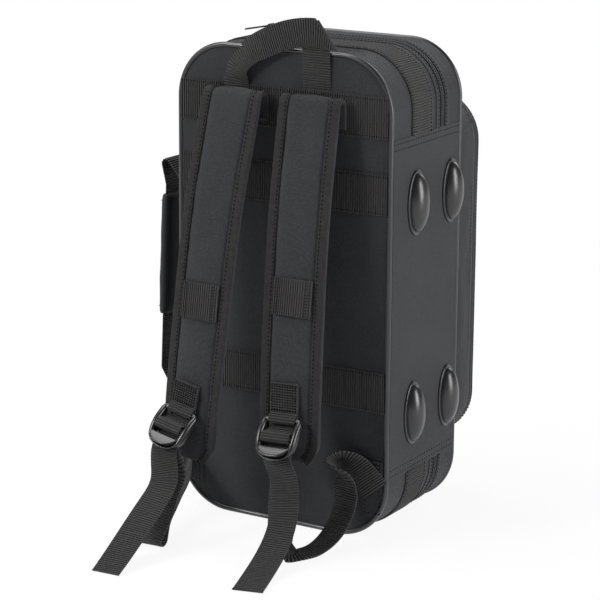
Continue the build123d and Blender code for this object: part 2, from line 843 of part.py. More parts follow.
# Free tails: from the lock down and out to the floor. Each row is a point in shares of
# half the width, the reach and the lock's height, then the direction of the width
tail_shares = {
    "left": (
        ((-0.575, 0.446, 0.695), (1.0, -0.05, 0.08)),
        ((-0.535, 0.536, 0.528), (1.0, 0.0, -0.02)),
        ((-0.538, 0.634, 0.370), (1.0, 0.0, -0.08)),
        ((-0.550, 0.765, 0.224), (1.0, 0.0, -0.10)),
        ((-0.546, 0.896, 0.102), (1.0, 0.0, -0.06)),
        ((-0.534, 1.019, 0.0), (1.0, 0.0, 0.0)),
    ),
    "right": (
        ((0.395, 0.341, 0.690), (1.0, 0.02, 0.10)),
        ((0.442, 0.371, 0.502), (1.0, 0.03, 0.06)),
        ((0.478, 0.436, 0.331), (1.0, 0.03, 0.03)),
        ((0.494, 0.510, 0.183), (1.0, 0.03, -0.02)),
        ((0.525, 0.650, 0.068), (1.0, 0.03, -0.02)),
        ((0.613, 0.871, 0.0), (1.0, 0.06, 0.0)),
    ),
}

# Lower webbing: from the lock down to the floor, and back up to the case's lower corner
lower_shares = {
    "left": (
        ((-0.567, 0.425, 0.66), (1.0, -0.05, 0.05)),
        ((-0.560, 0.490, 0.43), (1.0, -0.02, 0.0)),
        ((-0.555, 0.570, 0.20), (1.0, 0.05, 0.0)),
        ((-0.553, 0.630, 0.055), (1.0, 0.20, 0.0)),
        ((-0.556, 0.646, 0.012), (1.0, 0.30, 0.0)),
        ((-0.580, 0.600, 0.020), (1.0, 0.20, 0.0)),
        ((-0.620, 0.500, 0.075), (1.0, -0.05, 0.1)),
        ((-0.680, 0.380, 0.150), (0.95, -0.2, 0.25)),
        ((-0.770, 0.215, 0.260), (0.85, -0.2, 0.45)),
        ((-0.865, 0.070, 0.330), (0.5, -0.1, 0.85)),
        ((-0.905, 0.0185, 0.355), (0.12, 0.0, 1.0)),
        ((-0.925, 0.0125, 0.360), (0.08, 0.0, 1.0)),
    ),
    "right": (
        ((0.375, 0.290, 0.655), (1.0, 0.02, 0.06)),
        ((0.385, 0.325, 0.47), (1.0, 0.0, 0.0)),
        ((0.385, 0.360, 0.24), (1.0, -0.05, 0.0)),
        ((0.415, 0.398, 0.07), (0.95, -0.3, 0.0)),
        ((0.455, 0.412, 0.020), (0.8, -0.6, 0.0)),
        ((0.545, 0.385, 0.020), (0.62, -0.78, 0.0)),
        ((0.622, 0.309, 0.035), (0.72, -0.7, 0.0)),
        ((0.682, 0.200, 0.118), (0.9, -0.44, 0.0)),
        ((0.712, 0.105, 0.331), (0.96, -0.21, 0.1)),
        ((0.716, 0.080, 0.480), (0.96, -0.12, 0.2)),
        ((0.665, 0.068, 0.620), (0.6, 0.2, 0.75)),
        ((0.765, 0.040, 0.570), (0.25, 0.1, 0.96)),
        ((0.850, 0.018, 0.480), (0.08, 0.0, 1.0)),
        ((0.905, 0.0125, 0.415), (0.0, 0.0, 1.0)),
    ),
}


def thread_end(frame, row):
    """Where the threaded webbing ends below the lock; row 0 is the tail, row 1 the lower webbing."""
    depth = lock_bar_radius - lock_thickness - thread_gap - webbing_thickness / 2
    depth -= row * (webbing_thickness + thread_gap)
    return frame.from_local_coords(Vector(0, -thread_length - thread_clearance, depth))


def laid(point):
    """A point kept high enough for the webbing to lie on the floor."""
    return Vector(point.X, point.Y, max(point.Z, webbing_thickness / 2 + laid_clearance))


for side, frame in lock_frames.items():
    down = -frame.y_dir
    for name, row, table in (("strap_tail", 0, tail_shares[side]), ("lower_webbing", 1, lower_shares[side])):
        start = thread_end(frame, row)
        points = [start, start + down * thread_run]
        widths = [frame.x_dir, frame.x_dir]
        for shares, width in table:
            points.append(laid(hanging_point(*shares)))
            widths.append(width)
        keep(f"{name}_{side}", webbing(points, widths))

# Patches that hold the lower webbing at the case's corners
for side, sign in (("left", -1), ("right", 1)):
    with BuildPart() as corner_anchor:
        with BuildSketch(upright(rear_face_y)):
            with Locations((sign * (band_length - anchor_width) / 2, anchor_center_height - mid_height)):
                Rectangle(anchor_width, anchor_height)
        extrude(amount=band_thickness)
        add(sewn_zone.part, mode=Mode.INTERSECT)
    keep(f"corner_anchor_{side}", corner_anchor.part)

# Hand loop: two legs from the upper band, and a run that climbs from the left leg to a
# fold above the right one. Its edges are in shares of half its span and of its rise
loop_outer_shares = (
    (-1.0, 0.0),
    (-1.0, 0.18),
    (-0.86, 0.44),
    (-0.38, 0.70),
    (0.0, 0.86),
    (0.40, 0.98),
    (0.78, 1.0),
    (1.04, 0.66),
    (1.0, 0.0),
)
loop_inner_shares = (
    (-0.50, 0.0),
    (-0.50, 0.10),
    (-0.22, 0.43),
    (0.22, 0.61),
    (0.487, 0.73),
    (0.487, 0.0),
)
loop_bottom = upper_band_height + band_width / 2
loop_rise = (loop_top - loop_bottom) / cos(radians(loop_tilt))
loop_base = Plane(origin=(loop_center, rear_face_y, loop_bottom), x_dir=(1, 0, 0), z_dir=(0, -1, 0))
loop_plane = turned(loop_base, loop_base.x_dir, loop_tilt)
loop_half_span = (loop_leg_spacing + webbing_width) / 2
with BuildPart() as hand_loop:
    with BuildSketch(loop_plane):
        for shares, mode in ((loop_outer_shares, Mode.ADD), (loop_inner_shares, Mode.SUBTRACT)):
            with BuildLine():
                Polyline(*[(loop_half_span * x, loop_rise * z) for x, z in shares], close=True)
            make_face(mode=mode)
    extrude(amount=webbing_thickness)
    for name in ("back_panel", "rear_piping", "upper_back_band"):
        add(pieces[name], mode=Mode.SUBTRACT)
keep("hand_loop", hand_loop.part)

# Carry handle on the free side: webbing sewn to the gusset band at both ends, with a
# grip. Its route is in shares of the reach and of the height between its ends
handle_face_x = -half_width
handle_y = gusset_band_y + band_width / 2
handle_shares = ((1.0, 0.01), (0.86, -0.12), (1.0, -0.95), (0.86, -1.0))
handle_rise = handle_upper_height - handle_lower_height
handle_plane = Plane(origin=(handle_face_x, handle_y, handle_upper_height), x_dir=(-1, 0, 0), z_dir=(0, 1, 0))
sewn_line = webbing_thickness / 2
handle_bends = [(handle_reach * out_share, handle_rise * up_share) for out_share, up_share in handle_shares]
with BuildPart() as carry_handle:
    with BuildSketch(handle_plane):
        with BuildLine():
            FilletPolyline(
                (sewn_line, -handle_strand_drop - handle_sewn_length),
                (sewn_line, -handle_strand_drop),
                *handle_bends,
                (sewn_line, -handle_rise),
                (sewn_line, -handle_rise - handle_sewn_length),
                radius=handle_bend,
            )
        trace(line_width=webbing_thickness)
    extrude(amount=webbing_width / 2, both=True)
keep("carry_handle", carry_handle.part)

grip_top, grip_bottom = [handle_plane.from_local_coords(Vector(x, y, 0)) for x, y in handle_bends[1:3]]
grip_direction = (grip_bottom - grip_top).normalized()
grip_start = grip_top + grip_direction * grip_drop
with BuildPart() as handle_grip:
    with BuildSketch(Plane(origin=grip_start, x_dir=(0, 1, 0), z_dir=grip_direction)):
        SlotOverall(grip_width, grip_thickness)
    extrude(amount=grip_length)
    add(carry_handle.part, mode=Mode.SUBTRACT)
keep("handle_grip", handle_grip.part)

for name, part in pieces.items():
    export_step(part, f"parts/{name}.step")
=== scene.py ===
"""Looks of a soft case for a curved soprano saxophone: cloth, webbing, padding, zippers, plastic.

Lengths are in metres in the case's own frame. The case stands on z = 0, its back panel with
the shoulder straps faces -Y, the lid and its pocket face +Y, and the lid's hinge is at +X.
"""

import json
from contextlib import contextmanager
from math import cos, pi, radians, sin, tan

import bpy
import numpy as np
from mathutils import Matrix, Vector, noise

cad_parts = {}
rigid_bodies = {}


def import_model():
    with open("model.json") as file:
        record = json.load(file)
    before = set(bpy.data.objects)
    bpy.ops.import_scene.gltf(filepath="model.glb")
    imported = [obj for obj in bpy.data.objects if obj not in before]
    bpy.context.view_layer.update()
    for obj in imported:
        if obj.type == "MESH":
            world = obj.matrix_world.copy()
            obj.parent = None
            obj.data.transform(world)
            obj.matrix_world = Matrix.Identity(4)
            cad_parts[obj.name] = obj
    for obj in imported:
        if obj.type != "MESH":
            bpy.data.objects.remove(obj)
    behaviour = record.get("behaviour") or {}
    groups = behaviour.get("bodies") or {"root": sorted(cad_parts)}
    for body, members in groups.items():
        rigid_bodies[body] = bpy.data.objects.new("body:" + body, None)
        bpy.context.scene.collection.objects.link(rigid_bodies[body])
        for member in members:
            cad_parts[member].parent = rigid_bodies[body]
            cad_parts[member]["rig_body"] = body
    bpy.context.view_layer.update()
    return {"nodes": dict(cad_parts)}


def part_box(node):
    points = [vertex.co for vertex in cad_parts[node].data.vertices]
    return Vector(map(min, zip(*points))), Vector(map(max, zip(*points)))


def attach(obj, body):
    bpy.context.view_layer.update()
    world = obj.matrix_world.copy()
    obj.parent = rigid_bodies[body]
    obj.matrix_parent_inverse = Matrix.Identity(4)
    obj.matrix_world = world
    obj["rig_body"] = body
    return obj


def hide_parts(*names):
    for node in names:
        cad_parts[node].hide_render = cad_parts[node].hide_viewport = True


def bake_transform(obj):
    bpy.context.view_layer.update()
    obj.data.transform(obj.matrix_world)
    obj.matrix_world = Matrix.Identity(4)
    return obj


bl_info = {
    "name": "Soprano Saxophone Case",
    "version": (1, 0, 0),
    "blender": (4, 5, 0),
    "location": "View3D > Sidebar > Saxophone Case",
    "description": "Dresses a soft saxophone case with cloth, webbing, padding and zippers",
    "category": "Object",
}

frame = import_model()

# Places read from the frame
piping_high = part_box("rear_piping")[1]
gusset_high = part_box("back_gusset")[1]
panel_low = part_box("back_panel")[0]
band_low, band_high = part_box("gusset_band")
back_coil_low, back_coil_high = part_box("back_zip_coil")
lid_coil_low, lid_coil_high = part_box("lid_zip_coil")
back_tape_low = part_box("back_zip_tape")[0]
lid_tape_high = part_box("lid_zip_tape")[1]
pocket_low, pocket_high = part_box("pocket_gusset")
flap_low, flap_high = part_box("pocket_flap")
hinge_low, hinge_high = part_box("back_hinge_panel")
lid_hinge_low, lid_hinge_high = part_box("lid_hinge_panel")
loop_low, loop_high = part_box("hand_loop")
half_case = piping_high.x
case_top = piping_high.z
middle = case_top / 2
rear_face = panel_low.y
gusset_half = gusset_high.x
gusset_rise = gusset_high.z - middle
corner_radius = 0.055
hinge_bottom = hinge_low.z
hinge_top = hinge_high.z
hinge_bend = 0.004
hinge_seams = (0.004, 0.010)
pocket_half = pocket_high.x
pocket_rise = (pocket_high.z - pocket_low.z) / 2
pocket_middle = (pocket_high.z + pocket_low.z) / 2
pocket_corner = 0.048
pocket_wall = 0.0024
pocket_wall_swell = 0.0016
pocket_wall_levels = 9
pocket_edge = 0.020
pocket_front_steps = 9
seam_inset = 0.0025
anchor_inset = 0.003

# Shoulder straps: share of the case's height, share of the bow away from the back, lean in
# degrees, shares of the thickness and the width, and the share of the sideways drift
strap_shares = (
    (0.850, 0.00, 180, 0.6, 1.00, 0.00),
    (0.892, 0.00, 180, 0.6, 1.00, 0.00),
    (0.903, 0.03, 140, 0.6, 1.00, 0.00),
    (0.908, 0.10, 90, 0.6, 1.00, 0.00),
    (0.903, 0.18, 45, 0.7, 1.00, 0.00),
    (0.890, 0.22, 12, 0.8, 1.00, 0.00),
    (0.842, 0.30, 13, 1.0, 1.00, 0.05),
    (0.737, 0.49, 11, 1.0, 1.00, 0.20),
    (0.518, 0.75, 8, 1.0, 1.00, 0.48),
    (0.312, 0.91, 5, 1.0, 1.00, 0.80),
    (0.240, 0.95, 4, 1.0, 1.00, 0.92),
    (0.205, 0.97, 3, 0.9, 0.88, 0.97),
    (0.188, 0.98, 3, 0.7, 0.62, 1.00),
)
hanging_from = 5
strap_routes = {
    "left": {"place": -0.046, "bow": 0.070, "drift": -0.016, "sag": 0.012, "yaw": 9.0},
    "right": {"place": 0.039, "bow": 0.054, "drift": 0.005, "sag": 0.0, "yaw": 0.0},
}
patch_heights = {"left": 0.232, "right": 0.246}
lock_places = {"left": (-0.065, 0.1235, -8.0), "right": (0.041, 0.129, 3.0)}

# Half of a strap's cross-section: shares of its half width and of its half thickness
strap_front_shares = (
    (1.0, 0.0), (0.985, 0.34), (0.95, 0.47), (0.80, 0.54), (0.715, 0.50), (0.675, 0.34),
    (0.645, 0.52), (0.56, 0.72), (0.36, 0.88), (0.0, 0.94),
)
strap_back_shares = (
    (0.985, -0.34), (0.95, -0.47), (0.72, -0.55), (0.665, -0.45), (0.58, -0.68), (0.36, -0.88),
    (0.0, -0.95),
)
strap_stitch_share = 0.755
strap_stitch_lift = 0.0004
strap_binding_share = 0.84
strap_edge_share = 0.985
strap_step = 0.003

# Crumples of the strap's padding: multiple of the place, size and height of each
strap_crumples = ((1.0, 0.022, 0.0011), (1.7, 0.009, 0.0004))

# Ladder locks and their webbing, in the lock's own frame
lock_bar = 0.0024
lock_depth = 0.005
lock_crown = 0.004
lock_length = 0.040
lock_gap = 0.0006
lock_step = 0.0011
lock_bar_stations = (-0.0185, -0.009, 0.0, 0.009, 0.0185)
lock_hangs = {"left": 33.0, "right": 26.0}
upper_slot_end = 0.0156
lower_slot_start = 0.0212
lip_start = 0.0278
lip_reach = 0.0112
lip_half = 0.0170
lip_flare = 0.42
lip_rounding = 2.4
lip_half_thickness = 0.0012
lip_sink = 0.0016
rail_flare = 0.55
rail_flare_start = 0.024
rail_flare_run = 0.008
thread_corner = 0.0014
thread_length = 0.029
thread_clearance = 0.0014
thread_run = 0.003
thread_entry = 0.0036
thread_overlap = 0.0002
thread_width_share = 1.05
tab_lengths = {"left": 0.029, "right": 0.035}
tab_fold = 0.0075
tab_seat = 0.0008
tab_slack = 0.00005
tab_rows = 10
tab_seam_inset = 0.002
tail_reach = 0.206
lock_height = 0.127
laid_height = 0.0010

# Half of the lock's ring from its top bar to its lip: place across and up, half width, half depth
lock_stations = (
    (0.0, 0.0, 0.0025, 0.0025),
    (0.0135, 0.0, 0.0025, 0.0025),
    (0.0184, -0.0012, 0.0030, 0.0029),
    (0.0192, -0.0062, 0.0032, 0.0042),
    (0.0192, -0.0145, 0.0032, 0.0058),
    (0.0187, -0.0224, 0.0032, 0.0062),
    (0.0174, -0.0292, 0.0030, 0.0044),
    (0.0138, -0.0348, 0.0026, 0.0026),
    (0.0072, -0.0382, 0.0022, 0.0018),
    (0.0, -0.0390, 0.0020, 0.0016),
)

# Each row: shares of half the case's width, of the reach and of the lock's height, then the
# direction of the webbing's width
tail_shares = {
    "left": (
        ((-0.537, 0.540, 0.515), (1.0, 0.0, -0.02)),
        ((-0.538, 0.634, 0.370), (1.0, 0.0, -0.08)),
        ((-0.550, 0.765, 0.224), (1.0, 0.0, -0.10)),
        ((-0.546, 0.896, 0.102), (1.0, 0.0, -0.06)),
        ((-0.534, 1.019, 0.0), (1.0, 0.0, 0.0)),
    ),
    "right": (
        ((0.398, 0.378, 0.650), (1.0, 0.02, 0.08)),
        ((0.442, 0.392, 0.490), (1.0, 0.03, 0.06)),
        ((0.478, 0.436, 0.331), (1.0, 0.03, 0.03)),
        ((0.494, 0.510, 0.183), (1.0, 0.03, -0.02)),
        ((0.525, 0.650, 0.068), (1.0, 0.03, -0.02)),
        ((0.613, 0.871, 0.0), (1.0, 0.06, 0.0)),
    ),
}
lower_shares = {
    "left": (
        ((-0.518, 0.482, 0.56), (1.0, -0.05, 0.0)),
        ((-0.532, 0.512, 0.43), (1.0, -0.02, 0.0)),
        ((-0.547, 0.578, 0.24), (1.0, 0.02, 0.0)),
        ((-0.566, 0.629, 0.125), (1.0, 0.05, 0.0)),
        ((-0.578, 0.642, 0.078), (1.0, 0.06, 0.0)),
        ((-0.588, 0.631, 0.036), (1.0, 0.06, 0.0)),
        ((-0.597, 0.602, 0.016), (1.0, 0.06, 0.0)),
        ((-0.604, 0.573, 0.034), (1.0, 0.05, 0.0)),
        ((-0.609, 0.557, 0.072), (1.0, 0.02, 0.02)),
        ((-0.622, 0.530, 0.124), (1.0, -0.05, 0.08)),
        ((-0.656, 0.450, 0.185), (0.96, -0.12, 0.20)),
        ((-0.705, 0.350, 0.225), (0.93, -0.2, 0.32)),
        ((-0.775, 0.210, 0.275), (0.85, -0.2, 0.45)),
        ((-0.865, 0.070, 0.330), (0.5, -0.1, 0.85)),
        ((-0.905, 0.0185, 0.355), (0.12, 0.0, 1.0)),
        ((-0.925, 0.0125, 0.360), (0.08, 0.0, 1.0)),
    ),
    "right": (
        ((0.375, 0.345, 0.600), (1.0, 0.02, 0.06)),
        ((0.383, 0.355, 0.430), (1.0, 0.0, 0.0)),
        ((0.387, 0.372, 0.240), (1.0, -0.05, 0.0)),
        ((0.415, 0.398, 0.07), (0.95, -0.3, 0.0)),
        ((0.455, 0.412, 0.020), (0.8, -0.6, 0.0)),
        ((0.545, 0.385, 0.020), (0.62, -0.78, 0.0)),
        ((0.622, 0.309, 0.035), (0.72, -0.7, 0.0)),
        ((0.682, 0.200, 0.118), (0.9, -0.44, 0.0)),
        ((0.712, 0.108, 0.331), (0.96, -0.21, 0.1)),
        ((0.712, 0.104, 0.450), (0.95, -0.22, 0.15)),
        ((0.690, 0.108, 0.545), (0.74, -0.55, 0.40)),
        ((0.632, 0.110, 0.590), (0.30, -0.88, 0.38)),
        ((0.585, 0.100, 0.615), (0.12, -0.92, 0.38)),
        ((0.578, 0.086, 0.645), (0.10, -0.92, 0.40)),
        ((0.630, 0.066, 0.672), (0.14, -0.80, 0.58)),
        ((0.715, 0.044, 0.635), (0.22, -0.42, 0.88)),
        ((0.810, 0.024, 0.530), (0.12, -0.10, 0.98)),
        ((0.905, 0.0125, 0.415), (0.0, 0.0, 1.0)),
    ),
}

# Webbing patch on a strap: half its width, its height and thickness, how far its middle and
# ends stand out from the strap's centre line, and how far its loop arches
patch_half = 0.0215
patch_rise = 0.036
patch_thickness = 0.0015
patch_seat = 0.0052
patch_fall = 0.0011
patch_arch = 0.0012

# Hand loop: its lower edge, its sewn ends and their seams, its lean, and the crease where it folds
loop_bottom = 0.437
loop_sewn = 0.012
loop_seam_drops = (0.010, 0.005)
loop_seam_lift = 0.0034
loop_lean = 4.0
loop_off_panel = 0.0022
loop_crease = (0.0125, -0.0135)
loop_crease_way = (0.79, 0.0, 0.61)
loop_fold_turn = 142.3

# The loop's run: the leg it is measured from, places across and up, and its width's direction
loop_run = (
    ("left", 0.0, -0.012, (1.0, 0.0, 0.0)),
    ("left", 0.0, 0.002, (1.0, 0.0, 0.04)),
    ("left", 0.003, 0.016, (0.86, -0.30, -0.42)),
    ("left", 0.016, 0.031, (0.52, -0.30, -0.80)),
    ("left", 0.036, 0.042, (0.42, -0.10, -0.90)),
    ("left", 0.058, 0.0505, (0.34, 0.0, -0.94)),
    ("right", -0.006, 0.0550, (0.16, 0.0, -0.99)),
    ("right", 0.027, 0.0530, (0.0, 0.0, -1.0)),
)

# Carry handle: heights of its sewn ends and their seams, and its free run in X and Z
handle_upper_end = (0.258, 0.292)
handle_run = ((-0.174, 0.3560), (-0.16472, 0.31704), (-0.172, 0.12365), (-0.16472, 0.112))
handle_lower_end = (0.112, 0.078)
handle_bend = 0.006
handle_seams = ((0.261, 0.288), (0.081, 0.108))
handle_seam_reach = 0.0125

# The handle's sleeve: its ends in X and Z, half width and depth, and how its ends are drawn in
grip_start = (-0.1651, 0.3072)
grip_end = (-0.1698, 0.1812)
grip_half_width = 0.0190
grip_half_depth = 0.0068
grip_taper = ((0.0, 0.35), (0.006, 0.72), (0.02, 0.84), (0.05, 0.9))
grip_wrinkle_size = 0.018
grip_wrinkle_height = 0.0007
grip_seam_shares = (0.06, 0.94)
grip_seam_reach = 0.013
grip_seam_lift = 0.0062

# Lamps: name, place, size and power
studio_lamps = (
    ("right_lamp", (2.3, -0.12, 0.95), (0.9, 1.7), 54.0),
    ("key_lamp", (-1.45, -2.0, 1.75), (0.8, 0.8), 46.0),
    ("left_lamp", (-1.9, -1.0, 1.2), (0.6, 1.3), 10.0),
    ("top_lamp", (-0.9, 0.0, 2.3), (1.6, 1.2), 32.0),
    ("rear_lamp", (0.1, 2.2, 1.4), (1.4, 1.4), 18.0),
)

# The photograph's camera: place, directions to its right and back, lens in millimetres
camera_place = (1.1610, -1.9681, 0.7954)
camera_right = (0.8563, 0.5164, 0.00643)
camera_back = (0.4991, -0.8306, 0.2470)
camera_lens = 141.7

# Woven finishes: colour, share of it, thread pitch, roughness, depth of the bump, change in tone
woven_finishes = {
    "woven_cover": ("cover", 1.0, 0.0006, 0.74, 0.00022, 0.85),
    "strap_cover": ("cover", 1.0, 0.0006, 0.76, 0.00020, 0.8),
    "sleeve_cloth": ("cover", 1.0, 0.0008, 0.66, 0.0001, 0.3),
    "binding_tape": ("webbing", 0.86, 0.0014, 0.85, 0.00022, 0.5),
    "zipper_tape": ("coil", 1.0, 0.0008, 0.8, 0.00012, 0.35),
    "plush_lining": ("plush", 1.0, 0.0007, 0.95, 0.0004, 0.5),
}
woven_sockets = {"Sheen Weight": 0.10, "Sheen Roughness": 0.4, "Specular IOR Level": 0.22}

# Ribbed webbing: distance between its lengthwise yarns
yarn_pitch = 0.0013
webbing_sockets = {"Sheen Weight": 0.08, "Sheen Roughness": 0.5, "Specular IOR Level": 0.35}

# Moulded finishes: colour, roughness, scale and depth of the grain, the shader's other sockets
moulded_finishes = {
    "glossy_vinyl": ("vinyl", 0.33, 500.0, 0.00002, {"Coat Weight": 0.3, "Coat Roughness": 0.24}),
    "foot_plastic": ("plastic", 0.34, 700.0, 0.00003, {"Coat Weight": 0.3, "Coat Roughness": 0.25}),
    "buckle_plastic": ("plastic", 0.26, 900.0, 0.00004, {"Coat Weight": 0.25, "Coat Roughness": 0.2}),
    "coil_nylon": ("coil", 0.38, 1500.0, 0.00003, {}),
    "slider_paint": ("metal", 0.34, 800.0, 0.00003, {"Metallic": 0.55}),
    "foam_board": ("foam", 0.85, 1400.0, 0.0003, {}),
    "sewing_thread": ("thread", 0.9, 2500.0, 0.00005, {"Specular IOR Level": 0.05}),
}
gloss_change = 0.08

# Zipper coil: half width of a tooth, how far it lies under the coil's face, and its cord's depth
tooth_half = 0.00085
tooth_sink = 0.0004
cord_sink = 0.0011

# Hems and their seams beside the zipper: distance from the tape's edge
hem_inset = 0.0035
hem_seam_inset = 0.0022

# Seams whose stitches differ from the usual ones
hinge_stitch = {"pitch": 0.0050, "length": 0.0026, "radius": 0.0005}
strap_stitch = {"pitch": 0.0040, "length": 0.0022, "radius": 0.0006}
patch_stitch = {"pitch": 0.003, "length": 0.0022}
tab_stitch = {"pitch": 0.0029, "length": 0.0022, "radius": 0.0006}
handle_stitch = {"pitch": 0.0032, "length": 0.0023}

# Back cover: how far in its rings lie, and how far the outer two are tucked in
cover_insets = (
    0.0005, 0.0020, 0.0045, 0.009, 0.016, 0.026, 0.038, 0.052, 0.066, 0.080, 0.094, 0.106, 0.114,
)
cover_tucks = {0: 0.0016, 1: 0.0008}

# A woven band's cross-section: shares of its half width and of its half thickness
band_outline_shares = np.array((
    (-1.0, 0.0), (-0.985, 0.7), (-0.94, 1.0), (-0.5, 1.0), (0.0, 1.0), (0.5, 1.0), (0.94, 1.0),
    (0.985, 0.7), (1.0, 0.0), (0.985, -0.7), (0.94, -1.0), (0.0, -1.0), (-0.94, -1.0), (-0.985, -0.7),
))


class CaseSizes(bpy.types.PropertyGroup):
    """Sizes of the trim that a user would change."""

    webbing_width: bpy.props.FloatProperty(
        name="Webbing width", description="Width of the strap webbing", default=0.030, unit="LENGTH")
    webbing_thickness: bpy.props.FloatProperty(
        name="Webbing thickness", description="Thickness of all webbing", default=0.0016, unit="LENGTH")
    rib_pitch: bpy.props.FloatProperty(
        name="Rib pitch", description="Distance between the webbing's ribs", default=0.0025, unit="LENGTH")
    rib_share: bpy.props.FloatProperty(
        name="Rib height", description="Swell of the webbing at its ribs", default=0.38, min=0.0, max=1.0)
    strap_width: bpy.props.FloatProperty(
        name="Strap width", description="Width of a shoulder strap", default=0.066, unit="LENGTH")
    strap_thickness: bpy.props.FloatProperty(
        name="Strap thickness", description="Thickness of a shoulder strap", default=0.010, unit="LENGTH")
    stitch_length: bpy.props.FloatProperty(
        name="Stitch length", description="Length of one stitch", default=0.0026, unit="LENGTH")
    stitch_pitch: bpy.props.FloatProperty(
        name="Stitch pitch", description="Distance from stitch to stitch", default=0.0038, unit="LENGTH")
    stitch_radius: bpy.props.FloatProperty(
        name="Thread radius", description="Radius of the sewing thread", default=0.00042, unit="LENGTH")
    tooth_pitch: bpy.props.FloatProperty(
        name="Tooth pitch", description="Distance from tooth to tooth", default=0.0024, unit="LENGTH")
    panel_crown: bpy.props.FloatProperty(
        name="Panel crown", description="How far the back panel swells", default=0.0009, unit="LENGTH")
    pocket_crown: bpy.props.FloatProperty(
        name="Pocket crown", description="How far the pocket's front swells", default=0.006, unit="LENGTH")


class CaseColours(bpy.types.PropertyGroup):
    """Colours of the cloth, webbing and plastic."""

    cover: bpy.props.FloatVectorProperty(
        name="Cover", description="Woven cover", subtype="COLOR", default=(0.0222, 0.0230, 0.0262))
    webbing: bpy.props.FloatVectorProperty(
        name="Webbing", description="Webbing and bands", subtype="COLOR", default=(0.0215, 0.0203, 0.0200))
    thread: bpy.props.FloatVectorProperty(
        name="Thread", description="Sewing thread", subtype="COLOR", default=(0.0040, 0.0038, 0.0038))
    vinyl: bpy.props.FloatVectorProperty(
        name="Piping", description="Vinyl piping", subtype="COLOR", default=(0.014, 0.014, 0.015))
    plastic: bpy.props.FloatVectorProperty(
        name="Plastic", description="Feet and buckles", subtype="COLOR", default=(0.011, 0.011, 0.012))
    coil: bpy.props.FloatVectorProperty(
        name="Zipper", description="Zipper coil and tape", subtype="COLOR", default=(0.014, 0.014, 0.015))
    metal: bpy.props.FloatVectorProperty(
        name="Sliders", description="Painted sliders", subtype="COLOR", default=(0.020, 0.020, 0.021))
    plush: bpy.props.FloatVectorProperty(
        name="Plush", description="Plush lining", subtype="COLOR", default=(0.030, 0.030, 0.035))
    foam: bpy.props.FloatVectorProperty(
        name="Foam", description="Stiff foam board", subtype="COLOR", default=(0.050, 0.050, 0.055))
    floor: bpy.props.FloatVectorProperty(
        name="Floor", description="Floor and backdrop", subtype="COLOR", default=(0.90, 0.90, 0.90))


def sizes():
    """The sizes in use."""
    return bpy.context.scene.saxcase_sizes


def colours():
    """The colours in use."""
    return bpy.context.scene.saxcase_colours


# Materials
def add_node(tree, kind, links, **settings):
    """A shader node with its settings, and its sockets linked or set."""
    made = tree.nodes.new(kind)
    for key, value in settings.items():
        setattr(made, key, value)
    for socket, source in links.items():
        if isinstance(source, bpy.types.NodeSocket):
            tree.links.new(source, made.inputs[socket])
        else:
            made.inputs[socket].default_value = source
    return made


def maths(tree, operation, *values):
    """The result of a Math node on sockets or numbers."""
    return add_node(tree, "ShaderNodeMath", dict(enumerate(values)), operation=operation).outputs[0]


def stretched(tree, value, low, high, to_low, to_high):
    """A value stretched from one range to another, and held at its ends."""
    return add_node(tree, "ShaderNodeMapRange", {
        "Value": value, "From Min": low, "From Max": high, "To Min": to_low, "To Max": to_high}).outputs[0]


def noise_at(tree, place, scale, detail):
    """The height of a noise texture at a place."""
    links = {"Vector": place, "Scale": scale, "Detail": detail}
    return add_node(tree, "ShaderNodeTexNoise", links).outputs["Fac"]


def object_place(tree):
    """The place on a piece, in metres."""
    return add_node(tree, "ShaderNodeTexCoord", {}).outputs["Object"]


def base_material(name, colour, roughness, sockets):
    """A principled material with its constant values on the shader's own sockets, made once."""
    made = bpy.data.materials.get(name)
    if made:
        return made, None, None
    made = bpy.data.materials.new(name)
    made.use_nodes = True
    shader = made.node_tree.nodes["Principled BSDF"]
    shader.inputs["Base Color"].default_value = (*colour, 1.0)
    shader.inputs["Roughness"].default_value = roughness
    for socket, value in sockets.items():
        shader.inputs[socket].default_value = value
    return made, made.node_tree, shader


def colour_between(tree, shader, colour, factor, dark, light):
    """Varies the base colour between two shares of itself."""
    mixing = add_node(tree, "ShaderNodeMix", {
        0: factor,
        6: (*[dark * c for c in colour], 1.0),
        7: (*[light * c for c in colour], 1.0),
    }, data_type="RGBA")
    tree.links.new(mixing.outputs[2], shader.inputs["Base Color"])


def bumped(tree, shader, height, distance, strength):
    """Turns a height into the surface's bump."""
    links = {"Height": height, "Distance": distance, "Strength": strength}
    bump = add_node(tree, "ShaderNodeBump", links)
    tree.links.new(bump.outputs["Normal"], shader.inputs["Normal"])


def cloth(name):
    """A woven finish: threads cross in all three directions, with slow changes in tone."""
    colour_name, share, pitch, roughness, depth, fade = woven_finishes[name]
    colour = [share * part for part in getattr(colours(), colour_name)]
    made, tree, shader = base_material(name, colour, roughness, woven_sockets)
    if tree is None:
        return made
    place = object_place(tree)
    around = (2 * pi / pitch,) * 3
    scaled = add_node(tree, "ShaderNodeVectorMath", {0: place, 1: around}, operation="MULTIPLY")
    waves = add_node(tree, "ShaderNodeVectorMath", {0: scaled.outputs[0]}, operation="SINE")
    halves = {0: waves.outputs[0], 1: (0.5, 0.5, 0.5)}
    threads = add_node(tree, "ShaderNodeVectorMath", halves, operation="DOT_PRODUCT").outputs["Value"]
    grain = noise_at(tree, place, 0.30 / pitch, 6.0)
    tone = stretched(tree, threads, -1.2, 1.2, 0.25, 0.75)
    blotch = maths(tree, "MULTIPLY", tone, noise_at(tree, place, 14.0, 4.0))
    colour_between(tree, shader, colour, maths(tree, "ADD", blotch, grain), 1.0 - fade, 1.0 + fade)
    bumped(tree, shader, maths(tree, "ADD", threads, grain), depth, 0.9)
    return made


